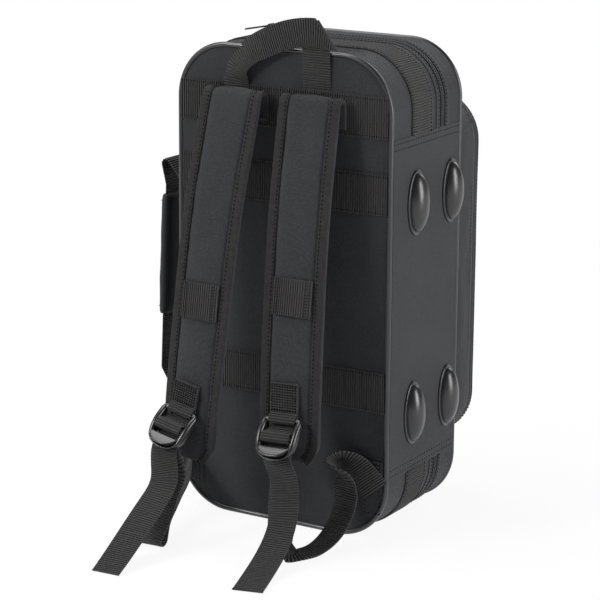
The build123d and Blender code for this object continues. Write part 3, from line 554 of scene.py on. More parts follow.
def webbing_material():
    """Ribbed webbing: lengthwise yarns over the ribs that the mesh carries, with painted shade in the ribs'
    valleys.
    """
    colour = colours().webbing
    made, tree, shader = base_material("ribbed_webbing", colour, 0.66, webbing_sockets)
    if tree is None:
        return made
    flat_place = add_node(tree, "ShaderNodeUVMap", {}, uv_map="UVMap").outputs["UV"]
    parts = add_node(tree, "ShaderNodeSeparateXYZ", {0: flat_place}).outputs
    yarns = maths(tree, "SINE", maths(tree, "MULTIPLY", parts[0], 2 * pi / yarn_pitch))
    ribs = maths(tree, "COSINE", maths(tree, "MULTIPLY", parts[1], 2 * pi / sizes().rib_pitch))
    crossed = maths(tree, "MULTIPLY_ADD", yarns, 0.4, ribs)
    rib_shade_and_fuzz = maths(tree, "ADD", crossed, noise_at(tree, object_place(tree), 900.0, 3.0))
    # Painted shade and light: the colour is darker in the ribs' valleys and lighter on their crests; the
    # yarns and fuzz vary its tone too
    colour_between(tree, shader, colour, stretched(tree, rib_shade_and_fuzz, -0.9, 1.9, 0.0, 1.0), 0.10, 1.95)
    bumped(tree, shader, rib_shade_and_fuzz, 0.0005, 1.0)
    return made


def moulded(name):
    """Moulded plastic, vinyl, foam, thread or paint: a fine grain in its bump, tone and gloss."""
    colour_name, roughness, scale, depth, sockets = moulded_finishes[name]
    colour = getattr(colours(), colour_name)
    made, tree, shader = base_material(name, colour, roughness, sockets)
    if tree is None:
        return made
    place = object_place(tree)
    worn = noise_at(tree, place, 35.0, 3.0)
    gloss = stretched(tree, worn, 0.3, 0.7, roughness - gloss_change / 2, roughness + gloss_change)
    tree.links.new(gloss, shader.inputs["Roughness"])
    colour_between(tree, shader, colour, worn, 0.8, 1.25)
    bumped(tree, shader, noise_at(tree, place, scale, 5.0), depth, 0.6)
    return made


# Meshes and placing
def deselect():
    """Nothing selected, so that an operator acts on its own piece only."""
    bpy.ops.object.select_all(action="DESELECT")


def pick(piece):
    """Selects one piece and makes it active."""
    deselect()
    piece.select_set(True)
    bpy.context.view_layer.objects.active = piece


@contextmanager
def editing(piece):
    """Edit mode on one piece with all of it selected."""
    pick(piece)
    bpy.ops.object.mode_set(mode="EDIT")
    bpy.ops.mesh.select_all(action="SELECT")
    yield
    bpy.ops.object.mode_set(mode="OBJECT")


def linked(name, data):
    """A new object in the scene with the data given."""
    made = bpy.data.objects.new(name, data)
    bpy.context.collection.objects.link(made)
    return made


def apply_modifier(piece, name, kind, **settings):
    """Adds a modifier with its settings and applies it."""
    modifier = piece.modifiers.new(name, kind)
    for key, value in settings.items():
        setattr(modifier, key, value)
    bpy.ops.object.modifier_apply(modifier=modifier.name)


def build(name, points, faces, flat_places=None):
    """A new mesh object from points and faces, smooth, with its own UV map where it has one."""
    mesh = bpy.data.meshes.new(name)
    mesh.from_pydata([tuple(p) for p in points], [], faces)
    if flat_places is not None:
        layer = mesh.uv_layers.new(name="UVMap")
        corners = np.zeros(len(mesh.loops), np.int32)
        mesh.loops.foreach_get("vertex_index", corners)
        layer.data.foreach_set("uv", np.array(flat_places, np.float32)[corners].ravel())
    mesh.shade_smooth()
    return linked(name, mesh)


def outward(piece):
    """Points all of a closed piece's faces outwards."""
    with editing(piece):
        bpy.ops.mesh.normals_make_consistent(inside=False)
    return piece


def body_of(node):
    """The body that a CAD node moves with."""
    return frame["nodes"][node]["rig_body"]


def dress(piece, material, slot, body, *nodes):
    """Gives a piece its material, lets it ride, and lets it stand for CAD nodes; its slot is not used."""
    piece.data.materials.clear()
    piece.data.materials.append(material)
    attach(piece, body)
    if nodes:
        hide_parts(*nodes)
    return piece


def dress_blended(piece, material, slot, bodies, start, end, *nodes):
    """Gives a piece its material, bakes its place into its mesh, and lets it stand for CAD nodes."""
    piece.data.materials.clear()
    piece.data.materials.append(material)
    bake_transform(piece)
    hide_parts(*nodes)


def even_rows(dense, step):
    """Rows of numbers whose first three are a point, resampled at an even distance."""
    dense = np.array(dense, float)
    run = np.concatenate(([0.0], np.cumsum(np.linalg.norm(np.diff(dense[:, :3], axis=0), axis=1))))
    places = np.linspace(0.0, run[-1], max(2, round(run[-1] / step) + 1))
    return np.stack([np.interp(places, run, dense[:, k]) for k in range(dense.shape[1])], axis=1)


def smooth_rows(rows, step):
    """The same along a smooth curve through the rows."""
    rows = np.array(rows, float)
    along = np.concatenate(([0.0], np.cumsum(np.linalg.norm(np.diff(rows[:, :3], axis=0), axis=1))))
    gaps = np.diff(along)
    system = np.eye(len(rows))
    target = np.zeros_like(rows)
    for i in range(1, len(rows) - 1):
        system[i, i - 1:i + 2] = (gaps[i - 1], 2 * (gaps[i - 1] + gaps[i]), gaps[i])
        target[i] = 6 * ((rows[i + 1] - rows[i]) / gaps[i] - (rows[i] - rows[i - 1]) / gaps[i - 1])
    curving = np.linalg.solve(system, target)
    fine = np.linspace(0.0, along[-1], 4 * round(along[-1] / step) + 8)
    index = np.clip(np.searchsorted(along, fine) - 1, 0, len(rows) - 2)
    gap = gaps[index][:, None]
    after = (fine - along[index])[:, None] / gap
    before = 1 - after
    line = before * rows[index] + after * rows[index + 1]
    bend = (before**3 - before) * curving[index] + (after**3 - after) * curving[index + 1]
    return even_rows(line + bend * gap**2 / 6, step)


def unit(rows):
    """Each row at length one."""
    return rows / np.maximum(np.linalg.norm(rows, axis=1), 1e-12)[:, None]


def frames_along(rows):
    """Centres, tangents, directions across and normals of rows of (point, across)."""
    centres = rows[:, :3]
    tangents = unit(np.gradient(centres, axis=0))
    across = rows[:, 3:6]
    across = unit(across - np.sum(across * tangents, axis=1)[:, None] * tangents)
    return centres, tangents, across, np.cross(tangents, across)


def lofted(name, rings, closed=False, flat_places=None):
    """A skin over rings of points, capped at both ends unless the rings close on themselves."""
    count, around = len(rings), len(rings[0])
    points = [p for ring in rings for p in ring]
    faces = []
    for i in range(count if closed else count - 1):
        low, high = i * around, ((i + 1) % count) * around
        for k in range(around):
            faces.append((low + k, low + (k + 1) % around, high + (k + 1) % around, high + k))
    if not closed:
        faces.append(tuple(reversed(range(around))))
        faces.append(tuple(range((count - 1) * around, count * around)))
    return outward(build(name, points, faces, flat_places))


def band_piece(name, rows, width, thickness, ribbed=1.0):
    """A flat woven band along rows of (point, across), with ribs across it."""
    centres, _, across, normals = frames_along(np.array(rows, float))
    run = np.concatenate(([0.0], np.cumsum(np.linalg.norm(np.diff(centres, axis=0), axis=1))))
    swell = 1 + ribbed * sizes().rib_share * np.cos(2 * pi * run / sizes().rib_pitch)
    shares = band_outline_shares
    rings = (centres[:, None, :]
             + across[:, None, :] * shares[None, :, 0:1] * width / 2
             + normals[:, None, :] * shares[None, :, 1:2] * swell[:, None, None] * thickness / 2)
    flat = np.broadcast_arrays(shares[None, :, 0] * width / 2, run[:, None])
    return lofted(name, rings, flat_places=np.stack(flat, axis=-1).reshape(-1, 2))


def rib_step():
    """Four samples to each rib."""
    return sizes().rib_pitch / 4


def stitch_piece(name, seams, slot, body, pitch=None, length=None, radius=None):
    """Stitches along seams, each seam rows of (point, normal)."""
    pitch = pitch or sizes().stitch_pitch
    half = (length or sizes().stitch_length) / 2
    radius = radius or sizes().stitch_radius
    points = []
    faces = []
    for seam in seams:
        rows = even_rows(seam, pitch)
        along = unit(np.gradient(rows[:, :3], axis=0))
        for row, way in zip(rows, along):
            centre, normal = Vector(row[:3]), Vector(row[3:6]).normalized()
            way = Vector(way)
            side = way.cross(normal).normalized()
            start = len(points)
            points.append(centre - way * half - normal * radius * 0.6)
            for share in (-0.55, 0.55):
                for offset in (side, normal, -side, -normal):
                    points.append(centre + way * half * share + offset * radius)
            points.append(centre + way * half - normal * radius * 0.6)
            for k in range(4):
                near, far = start + 1 + k, start + 1 + (k + 1) % 4
                faces.append((start, far, near))
                faces.append((near, far, far + 4, near + 4))
                faces.append((start + 9, near + 4, far + 4))
    piece = outward(build(name, points, faces))
    return dress(piece, moulded("sewing_thread"), slot, body)


def filleted(points, radius, steps=6):
    """Corner points joined by straight runs and arcs."""
    points = [Vector(p) for p in points]
    made = [points[0]]
    for before, corner, after in zip(points, points[1:], points[2:]):
        back, ahead = before - corner, after - corner
        half = back.angle(ahead) / 2
        cut = min(radius / tan(half), 0.48 * back.length, 0.48 * ahead.length)
        bend = cut * tan(half)
        back.normalize()
        ahead.normalize()
        centre = corner + (back + ahead).normalized() * bend / cos(pi / 2 - half)
        first = (corner + back * cut - centre).normalized()
        last = (corner + ahead * cut - centre).normalized()
        for k in range(steps + 1):
            made.append(centre + first.slerp(last, k / steps).normalized() * bend)
    made.append(points[-1])
    return made


def merged_copy(node, name, flat_angle=0.0):
    """A copy of a CAD node's mesh with its triangles joined, and made one face where they lie flat."""
    piece = linked(name, frame["nodes"][node].data.copy())
    with editing(piece):
        bpy.ops.mesh.remove_doubles(threshold=0.00002)
        bpy.ops.mesh.customdata_custom_splitnormals_clear()
        if flat_angle:
            bpy.ops.mesh.dissolve_limited(angle_limit=radians(flat_angle))
    return piece


def rounded_copy(node, material, slot, bevel=0.0, angle=35.0):
    """A smooth piece from a CAD node's mesh, with its sharp edges broken."""
    piece = merged_copy(node, node + "_finished", flat_angle=1.0)
    if bevel:
        apply_modifier(piece, "rounded_edges", "BEVEL", width=bevel, segments=3, limit_method="ANGLE",
                       angle_limit=radians(angle), harden_normals=False)
    bpy.ops.object.shade_smooth_by_angle(angle=radians(angle))
    return dress(piece, material, slot, body_of(node), node)


def squarish(value, power):
    """A power of a number that keeps its sign, to square up a round section."""
    return abs(value) ** power * (1 if value > 0 else -1)


def wrinkled(point, size, height):
    """A slow random height at a point, the same on each run."""
    return height * noise.noise(Vector(point) / size)


def outline_rows(half_width, half_height, radius, per_arc=12, per_side=14, per_rise=24):
    """A rounded rectangle in X and Z about the origin, with its outward directions."""
    rows = []
    corners = ((1, -1, -90), (1, 1, 0), (-1, 1, 90), (-1, -1, 180))
    for i, (side_x, side_z, start) in enumerate(corners):
        centre_x = side_x * (half_width - radius)
        centre_z = side_z * (half_height - radius)
        for k in range(per_arc + 1):
            turn = radians(start + 90 * k / per_arc)
            x = centre_x + radius * cos(turn)
            z = centre_z + radius * sin(turn)
            rows.append((x, z, cos(turn), sin(turn)))
        next_x, next_z, next_start = corners[(i + 1) % 4]
        turn = radians(next_start)
        from_x, from_z = rows[-1][:2]
        to_x = next_x * (half_width - radius) + radius * cos(turn)
        to_z = next_z * (half_height - radius) + radius * sin(turn)
        steps = per_rise if i % 2 == 0 else per_side
        for k in range(1, steps):
            share = k / steps
            x = from_x + (to_x - from_x) * share
            z = from_z + (to_z - from_z) * share
            rows.append((x, z, cos(turn), sin(turn)))
    return rows


def round_route(outset, y, step, start=hinge_bottom, end=hinge_top):
    """Rows of (point, outward) round the case, from start on the hinge side by the bottom to end."""
    radius = corner_radius + outset
    half_width = gusset_half + outset
    half_height = gusset_rise + outset
    dense = [(half_width, y, start, 1, 0, 0)]
    for side_x, side_z, first in ((1, -1, 0), (-1, -1, -90), (-1, 1, -180), (1, 1, -270)):
        for k in range(25):
            turn = radians(first - 90 * k / 24)
            x = side_x * (half_width - radius) + radius * cos(turn)
            z = middle + side_z * (half_height - radius) + radius * sin(turn)
            dense.append((x, y, z, cos(turn), 0, sin(turn)))
    dense.append((half_width, y, end, 1, 0, 0))
    return even_rows(dense, step)


def with_across(rows, direction):
    """Rows of (point, across) that keep the points and take one direction across."""
    return np.concatenate([rows[:, :3], np.tile(np.array(direction, float), (len(rows), 1))], axis=1)


def back_surface(x, z):
    """How far back the crowned back panel lies at a place."""
    across = 1 - abs(x / gusset_half) ** 4
    up = 1 - abs((z - middle) / gusset_rise) ** 4
    return rear_face - sizes().panel_crown * max(across, 0) * max(up, 0)


# The straps' own geometry
def strap_station(shares, side):
    """Origin, across, along, half width and half thickness of one cross-section of a strap."""
    height_share, bow_share, lean, thickness_share, width_share, drift_share = shares
    route = strap_routes[side]
    turn = radians(route["yaw"] * drift_share)
    across = Vector((cos(turn), -sin(turn), 0))
    away = Vector((-sin(turn), -cos(turn), 0))
    along = away * sin(radians(lean)) - Vector((0, 0, cos(radians(lean))))
    standoff = 0.0015 + sizes().strap_thickness * strap_shares[0][3] / 2
    origin = Vector((
        route["place"] + route["drift"] * drift_share,
        rear_face - standoff - route["bow"] * bow_share,
        case_top * height_share - route["sag"] * drift_share,
    ))
    half_width = sizes().strap_width / 2 * width_share
    half_thickness = sizes().strap_thickness / 2 * thickness_share
    return origin, across, along, half_width, half_thickness


def strap_front(side, height):
    """The strap's centre line at a height: origin, across, up and outward directions."""
    hanging = [strap_station(shares, side) for shares in strap_shares[hanging_from:]]
    for above, below in zip(hanging, hanging[1:]):
        if above[0].z >= height >= below[0].z:
            share = (above[0].z - height) / (above[0].z - below[0].z)
            origin = above[0].lerp(below[0], share)
            outwards = above[2].cross(above[1]).normalized()
            return origin, above[1], outwards.cross(above[1]).normalized(), outwards
    raise ValueError("the strap doesn't reach that height")


def sewn_frame(side):
    """Origin on the lock's top bar, and the directions across, up and outwards of the sewn tab."""
    place, height, roll = lock_places[side]
    origin, across, up, outwards = strap_front(side, height)
    shift = (place - origin.x) / across.x
    lift = sizes().strap_thickness / 2 + tab_seat + lock_bar + tab_slack + sizes().webbing_thickness
    origin = origin + across * shift + outwards * lift
    turn = Matrix.Rotation(radians(roll), 3, outwards)
    return origin, turn @ across, turn @ up, outwards


def lock_frame(side):
    """The same for the lock, which hangs away from its tab."""
    origin, across, up, outwards = sewn_frame(side)
    turn = Matrix.Rotation(radians(-lock_hangs[side]), 3, across)
    return origin, across, turn @ up, turn @ outwards


def in_frame(place, along_up, outwards_by, across_by=0.0):
    """A point of a frame, from its height, its distance outwards and its distance across."""
    origin, across, up, outwards = place
    return origin + up * along_up + outwards * outwards_by + across * across_by


def hanging_rows(side, table, row):
    """Rows of (point, across) of the webbing below a lock; row 0 is the tail, 1 the lower webbing."""
    place = lock_frame(side)
    thickness = sizes().webbing_thickness
    depth = lock_bar - lock_depth - lock_gap - thickness / 2 - row * (thickness + lock_gap)
    rows = []
    clear = thread_length + thread_clearance
    for reach in (thread_length - 0.001, clear, clear + thread_run):
        rows.append((*in_frame(place, -reach, depth), *place[1]))
    for (x_share, out_share, height_share), width in table:
        height = max(lock_height * height_share, laid_height)
        point = (half_case * x_share, rear_face - tail_reach * out_share, height)
        rows.append((*point, *Vector(width).normalized()))
    rows = smooth_rows(rows, rib_step())
    tilt = np.abs(frames_along(rows)[2][:, 2]) * sizes().webbing_width / 2
    rows[:, 2] = np.maximum(rows[:, 2], laid_height + tilt)
    return rows


class SAXCASE_OT_covers(bpy.types.Operator):
    """Woven covers, foam boards, linings and the fitted insert"""

    bl_idname = "saxcase.covers"
    bl_label = "Covers and Inside"

    def execute(self, context):
        for node in ("back_gusset", "lid_gusset"):
            rounded_copy(node, cloth("woven_cover"), "woven", angle=25.0)
        plain = {
            "front_panel": cloth("woven_cover"),
            "back_lining": cloth("plush_lining"), "lid_lining": cloth("plush_lining"),
            "back_board": moulded("foam_board"), "lid_board": moulded("foam_board"),
            "back_zip_tape": cloth("zipper_tape"), "lid_zip_tape": cloth("zipper_tape"),
        }
        for node, material in plain.items():
            recolour(node, material)
        rounded_copy("fitted_insert", cloth("plush_lining"), "board_foam", bevel=0.0025)
        self.back_cover()
        return {"FINISHED"}

    def back_cover(self):
        """The crowned cloth of the back panel, tucked in under its piping."""
        rings = []
        for i, inset in enumerate(cover_insets):
            rows = outline_rows(gusset_half - inset, gusset_rise - inset, max(corner_radius - inset, 0.003))
            ring = []
            for x, z, _, _ in rows:
                ripple = wrinkled((x, 0, z), 0.035, 0.00025)
                depth = back_surface(x, z + middle) + cover_tucks.get(i, 0.0)
                ring.append((x, depth + ripple, z + middle))
            rings.append(ring)
        inner = [(x, rear_face + 0.0019, z) for x, _, z in rings[0]]
        rings.insert(0, inner)
        cover = lofted("back_cover", rings)
        dress(cover, cloth("woven_cover"), "woven", "case_back", "back_panel")


def recolour(node, material):
    """A carried-over CAD node with a procedural material."""
    mesh = frame["nodes"][node].data
    mesh.materials.clear()
    mesh.materials.append(material)


class SAXCASE_OT_piping(bpy.types.Operator):
    """Glossy piping round the back and the lid"""

    bl_idname = "saxcase.piping"
    bl_label = "Piping"

    def execute(self, context):
        for node in ("rear_piping", "front_piping"):
            rounded_copy(node, moulded("glossy_vinyl"), "piping", angle=60.0)
        return {"FINISHED"}


class SAXCASE_OT_bands(bpy.types.Operator):
    """Ribbed bands across the back and round the gusset"""

    bl_idname = "saxcase.bands"
    bl_label = "Webbing Bands"

    def execute(self, context):
        webbing = webbing_material()
        seams = []
        for node in ("upper_back_band", "middle_back_band", "lower_back_band"):
            low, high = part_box(node)
            height = (low.z + high.z) / 2
            thickness = high.y - low.y
            places = np.arange(low.x, high.x, rib_step())
            rows = [(x, back_surface(x, height) - thickness / 2, height, 0, 0, 1) for x in places]
            piece = band_piece(node + "_webbing", rows, high.z - low.z, thickness)
            dress(piece, webbing, "webbing", "case_back", node)
            for edge in (low.z + seam_inset, high.z - seam_inset):
                heights = [back_surface(x, edge) - thickness for x in places[::8]]
                seams.append([(x, y, edge, 0, -1, 0) for x, y in zip(places[::8], heights)])
        for node in ("corner_anchor_left", "corner_anchor_right"):
            low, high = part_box(node)
            recolour(node, cloth("woven_cover"))
            left, right = low.x + anchor_inset, high.x - anchor_inset
            lower, upper = low.z + anchor_inset, high.z - anchor_inset
            corners = ((left, lower), (right, lower), (right, upper), (left, upper))
            ring = [(x, low.y, z) for x, z in corners]
            for start, end in zip(ring, ring[1:] + ring[:1]):
                seams.append([(*start, 0, -1, 0), (*end, 0, -1, 0)])
        stitch_piece("back_band_stitches", seams, "webbing", "case_back")
        self.gusset_band(webbing)
        return {"FINISHED"}

    def gusset_band(self, webbing):
        """The band round the gusset, with a seam along each edge."""
        y = (band_low.y + band_high.y) / 2
        thickness = band_high.x - gusset_half
        rows = round_route(thickness / 2, y, rib_step())
        width = band_high.y - band_low.y
        piece = band_piece("gusset_webbing", with_across(rows, (0, 1, 0)), width, thickness, ribbed=1.3)
        dress(piece, webbing, "webbing", "case_back", "gusset_band")
        edges = (band_low.y + seam_inset, band_high.y - seam_inset)
        seams = [round_route(thickness, edge, 0.004) for edge in edges]
        stitch_piece("gusset_band_stitches", seams, "webbing", "case_back")


class SAXCASE_OT_zippers(bpy.types.Operator):
    """Zipper coils, hems beside them, sliders and pulls"""

    bl_idname = "saxcase.zippers"
    bl_label = "Zippers"

    def execute(self, context):
        halves = (("back", "case_back", back_coil_low, back_coil_high, back_tape_low.y, -1),
                  ("lid", "lid", lid_coil_low, lid_coil_high, lid_tape_high.y, 1))
        for half, body, low, high, slot_edge, side in halves:
            route = round_route(coil_outset(high), (low.y + high.y) / 2, sizes().tooth_pitch)
            self.coil(half + "_coil_teeth", route, high.y - low.y, body, half + "_zip_coil")
            y = slot_edge + side * hem_inset
            hem_rows = with_across(round_route(0.0004, y, 0.004), (0, 1, 0))
            hem = band_piece(half + "_zipper_hem", hem_rows, 0.007, 0.0011, ribbed=0.0)
            dress(hem, cloth("woven_cover"), "woven", body)
            seam = round_route(0.0010, slot_edge + side * hem_seam_inset, 0.004)
            stitch_piece(half + "_zipper_stitches", [seam], "woven", body)
        self.pocket_coils()
        for node in ("corner_zip_slider", "top_zip_slider", "pocket_zip_slider"):
            rounded_copy(node, moulded("slider_paint"), "slider_metal", bevel=0.0005)
        for node in ("corner_zip_pull", "top_zip_pull", "pocket_zip_pull"):
            rounded_copy(node, moulded("slider_paint"), "slider_metal", bevel=0.0004)
        return {"FINISHED"}

    def coil(self, name, route, width, body, node):
        """Teeth along a zipper's edge, on the cord that carries them."""
        points = []
        faces = []
        along = unit(np.gradient(route[:, :3], axis=0))
        for row, way in zip(route, along):
            centre, outwards, way = Vector(row[:3]), Vector(row[3:6]), Vector(way)
            side = Vector((0, 1, 0))
            start = len(points)
            for reach in (-0.5, -0.36, 0.36, 0.5):
                narrow = 0.45 if abs(reach) == 0.5 else 1.0
                for turn in (45, 135, 225, 315):
                    ring_way = way * cos(radians(turn)) * tooth_half * narrow
                    ring_out = outwards * (sin(radians(turn)) * tooth_half * narrow - tooth_sink)
                    points.append(centre + side * width * reach + ring_way + ring_out)
            for level in range(3):
                for k in range(4):
                    low, high = start + 4 * level, start + 4 * level + 4
                    faces.append((low + k, low + (k + 1) % 4, high + (k + 1) % 4, high + k))
            faces.append((start + 3, start + 2, start + 1, start))
            faces.append((start + 12, start + 13, start + 14, start + 15))
        teeth = outward(build(name, points, faces))
        core = np.array(route)
        core[:, :3] -= core[:, 3:6] * cord_sink
        cord = band_piece(name + "_cord", with_across(core, (0, 1, 0)), width * 0.92, 0.0010, ribbed=0.0)
        dress(teeth, moulded("coil_nylon"), "zip_coil", body, node)
        dress(cord, cloth("zipper_tape"), "zip_tape", body)

    def pocket_coils(self):
        """The same for the pocket, which opens on three sides."""
        for node, body in (("pocket_gusset_coil", "lid"), ("pocket_flap_coil", "pocket_door")):
            low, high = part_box(node)
            outset = high.z - pocket_high.z
            crest = outset / 2
            rows = outline_rows(pocket_half + crest, pocket_rise + crest, pocket_corner + crest)
            dense = [(x, (low.y + high.y) / 2, z + pocket_middle, nx, 0, nz) for x, z, nx, nz in rows]
            limit = pocket_low.z + 0.7 * pocket_corner
            top_limit = pocket_high.z - 0.7 * pocket_corner
            free = [not (row[0] > 0 and limit < row[2] < top_limit) for row in dense]
            first = next(i for i in range(len(dense)) if free[i] and not free[i - 1])
            turned = dense[first:] + dense[:first]
            kept = free[first:] + free[:first]
            ordered = [row for row, keep in zip(turned, kept) if keep]
            route = even_rows(ordered, sizes().tooth_pitch)
            self.coil(node + "_teeth", route, high.y - low.y, body, node)


def coil_outset(high):
    """How far a coil's middle stands out from the gusset."""
    return high.x - gusset_half - tooth_sink


class SAXCASE_OT_hinge_side(bpy.types.Operator):
    """Domed feet and the seams of the hinge panel"""

    bl_idname = "saxcase.hinge_side"
    bl_label = "Hinge Side"

    def execute(self, context):
        for node in ("back_foot_lower", "back_foot_upper", "lid_foot_lower", "lid_foot_upper"):
            rounded_copy(node, moulded("foot_plastic"), "feet_plastic", angle=50.0)
        self.hinge_cloth()
        sides = (
            ("back", "case_back", hinge_low, hinge_high),
            ("lid", "lid", lid_hinge_low, lid_hinge_high),
        )
        for name, body, low, high in sides:
            seams = []
            for z in [low.z + gap for gap in hinge_seams] + [high.z - gap for gap in hinge_seams]:
                seams.append([(high.x, low.y + 0.003, z, 1, 0, 0), (high.x, high.y - 0.003, z, 1, 0, 0)])
            stitch_piece(name + "_hinge_stitches", seams, "woven", body, **hinge_stitch)
        return {"FINISHED"}

    def hinge_cloth(self):
        """One cloth over both hinge panels, with more rings where the case folds open."""
        parting = (hinge_high.y + lid_hinge_low.y) / 2
        edge = 0.0004
        near = [parting + hinge_bend * k / 6 for k in range(-6, 7)]
        stations = [hinge_low.y, hinge_low.y + edge, *near, lid_hinge_high.y - edge, lid_hinge_high.y]
        rise = [hinge_bottom + edge + (hinge_top - hinge_bottom - 2 * edge) * k / 12 for k in range(13)]
        rings = []
        for y in stations:
            face = hinge_high.x - (edge if y in (stations[0], stations[-1]) else 0.0)
            lower = [(gusset_half, y, hinge_bottom), (face - edge, y, hinge_bottom)]
            upper = [(face - edge, y, hinge_top), (gusset_half, y, hinge_top)]
            rings.append([*lower, *[(face, y, z) for z in rise], *upper])
        piece = lofted("hinge_cloth", rings)
        pick(piece)
        bpy.ops.object.shade_smooth_by_angle(angle=radians(35))
        start = (hinge_high.x, parting - hinge_bend, middle)
        end = (hinge_high.x, parting + hinge_bend, middle)
        dress_blended(piece, cloth("woven_cover"), "woven", ("case_back", "lid"), start, end,
                      "back_hinge_panel", "lid_hinge_panel")


class SAXCASE_OT_straps(bpy.types.Operator):
    """Padded shoulder straps with bound edges, seams and a webbing patch"""

    bl_idname = "saxcase.straps"
    bl_label = "Shoulder Straps"

    def execute(self, context):
        for side in strap_routes:
            self.strap(side)
            self.patch(side)
        return {"FINISHED"}

    def strap(self, side):
        """One strap, lofted through its stations, with a seam inside each bound edge."""
        rows = []
        for shares in strap_shares:
            origin, across, _, half_width, half_thickness = strap_station(shares, side)
            rows.append((*origin, *across, half_width, half_thickness))
        rows = smooth_rows(rows, strap_step)
        centres, _, across, normals = frames_along(rows)
        outline = [*strap_front_shares, *[(-x, y) for x, y in reversed(strap_front_shares[:-1])]]
        outline += [(-x, y) for x, y in strap_back_shares]
        outline += [(x, y) for x, y in reversed(strap_back_shares[:-1])]
        rings = []
        seams = ([], [])
        bindings = ([], [])
        for i in range(len(rows)):
            half_width, half_thickness = rows[i, 6], rows[i, 7]
            ring = []
            for x_share, y_share in outline:
                point = centres[i] + across[i] * x_share * half_width
                crumple = sum(wrinkled(point * by, size, height) for by, size, height in strap_crumples)
                padding = 1 - abs(x_share) ** 3
                lift = y_share * half_thickness + crumple * padding * (1 if y_share > 0 else 0.4)
                ring.append(point + normals[i] * lift)
            rings.append(ring)
            for seam, binding, sign in zip(seams, bindings, (-1, 1)):
                point = centres[i] + across[i] * sign * strap_stitch_share * half_width
                lift = half_thickness * 0.56 + strap_stitch_lift
                seam.append((*(point + normals[i] * lift), *normals[i]))
                point = centres[i] + across[i] * sign * strap_binding_share * half_width
                binding.append((*(point + normals[i] * half_thickness * 0.55), *across[i]))
        piece = lofted(f"padded_strap_{side}", rings)
        dress(piece, cloth("strap_cover"), "strap_cloth", "case_back", f"shoulder_strap_{side}")
        first = len(rows) // 14
        width = (strap_edge_share - strap_binding_share) * sizes().strap_width
        for edge, binding in zip(("inner", "outer"), bindings):
            rows = even_rows(binding, rib_step())
            tape = band_piece(f"strap_binding_{side}_{edge}", rows, width, 0.0008, ribbed=0.0)
            dress(tape, cloth("binding_tape"), "strap_cloth", "case_back")
        seams = [seam[first:] for seam in seams]
        stitch_piece(f"strap_stitches_{side}", seams, "strap_cloth", "case_back", **strap_stitch)

    def patch(self, side):
        """Webbing sewn across a strap, open in its middle as a loop."""
        origin, across, up, outwards = strap_front(side, patch_heights[side])

        def lift(x):
            bow = (x / patch_half) ** 2
            return patch_seat - patch_fall * bow + patch_arch * (1 - bow)

        rows = []
        for x in np.arange(-patch_half, patch_half, rib_step()):
            rows.append((*(origin + across * x + outwards * (lift(x) + 0.0005)), *up))
        piece = band_piece(f"strap_patch_webbing_{side}", rows, patch_rise, patch_thickness)
        dress(piece, webbing_material(), "webbing", "case_back", f"strap_patch_{side}")
        seams = []
        for x in (-patch_half + 0.003, -patch_half + 0.006, patch_half - 0.006, patch_half - 0.003):
            centre = origin + across * x + outwards * (lift(x) + 0.0013)
            seams.append([(*(centre + up * reach), *outwards) for reach in (-0.016, 0.016)])
        stitch_piece(f"strap_patch_stitches_{side}", seams, "webbing", "case_back", **patch_stitch)


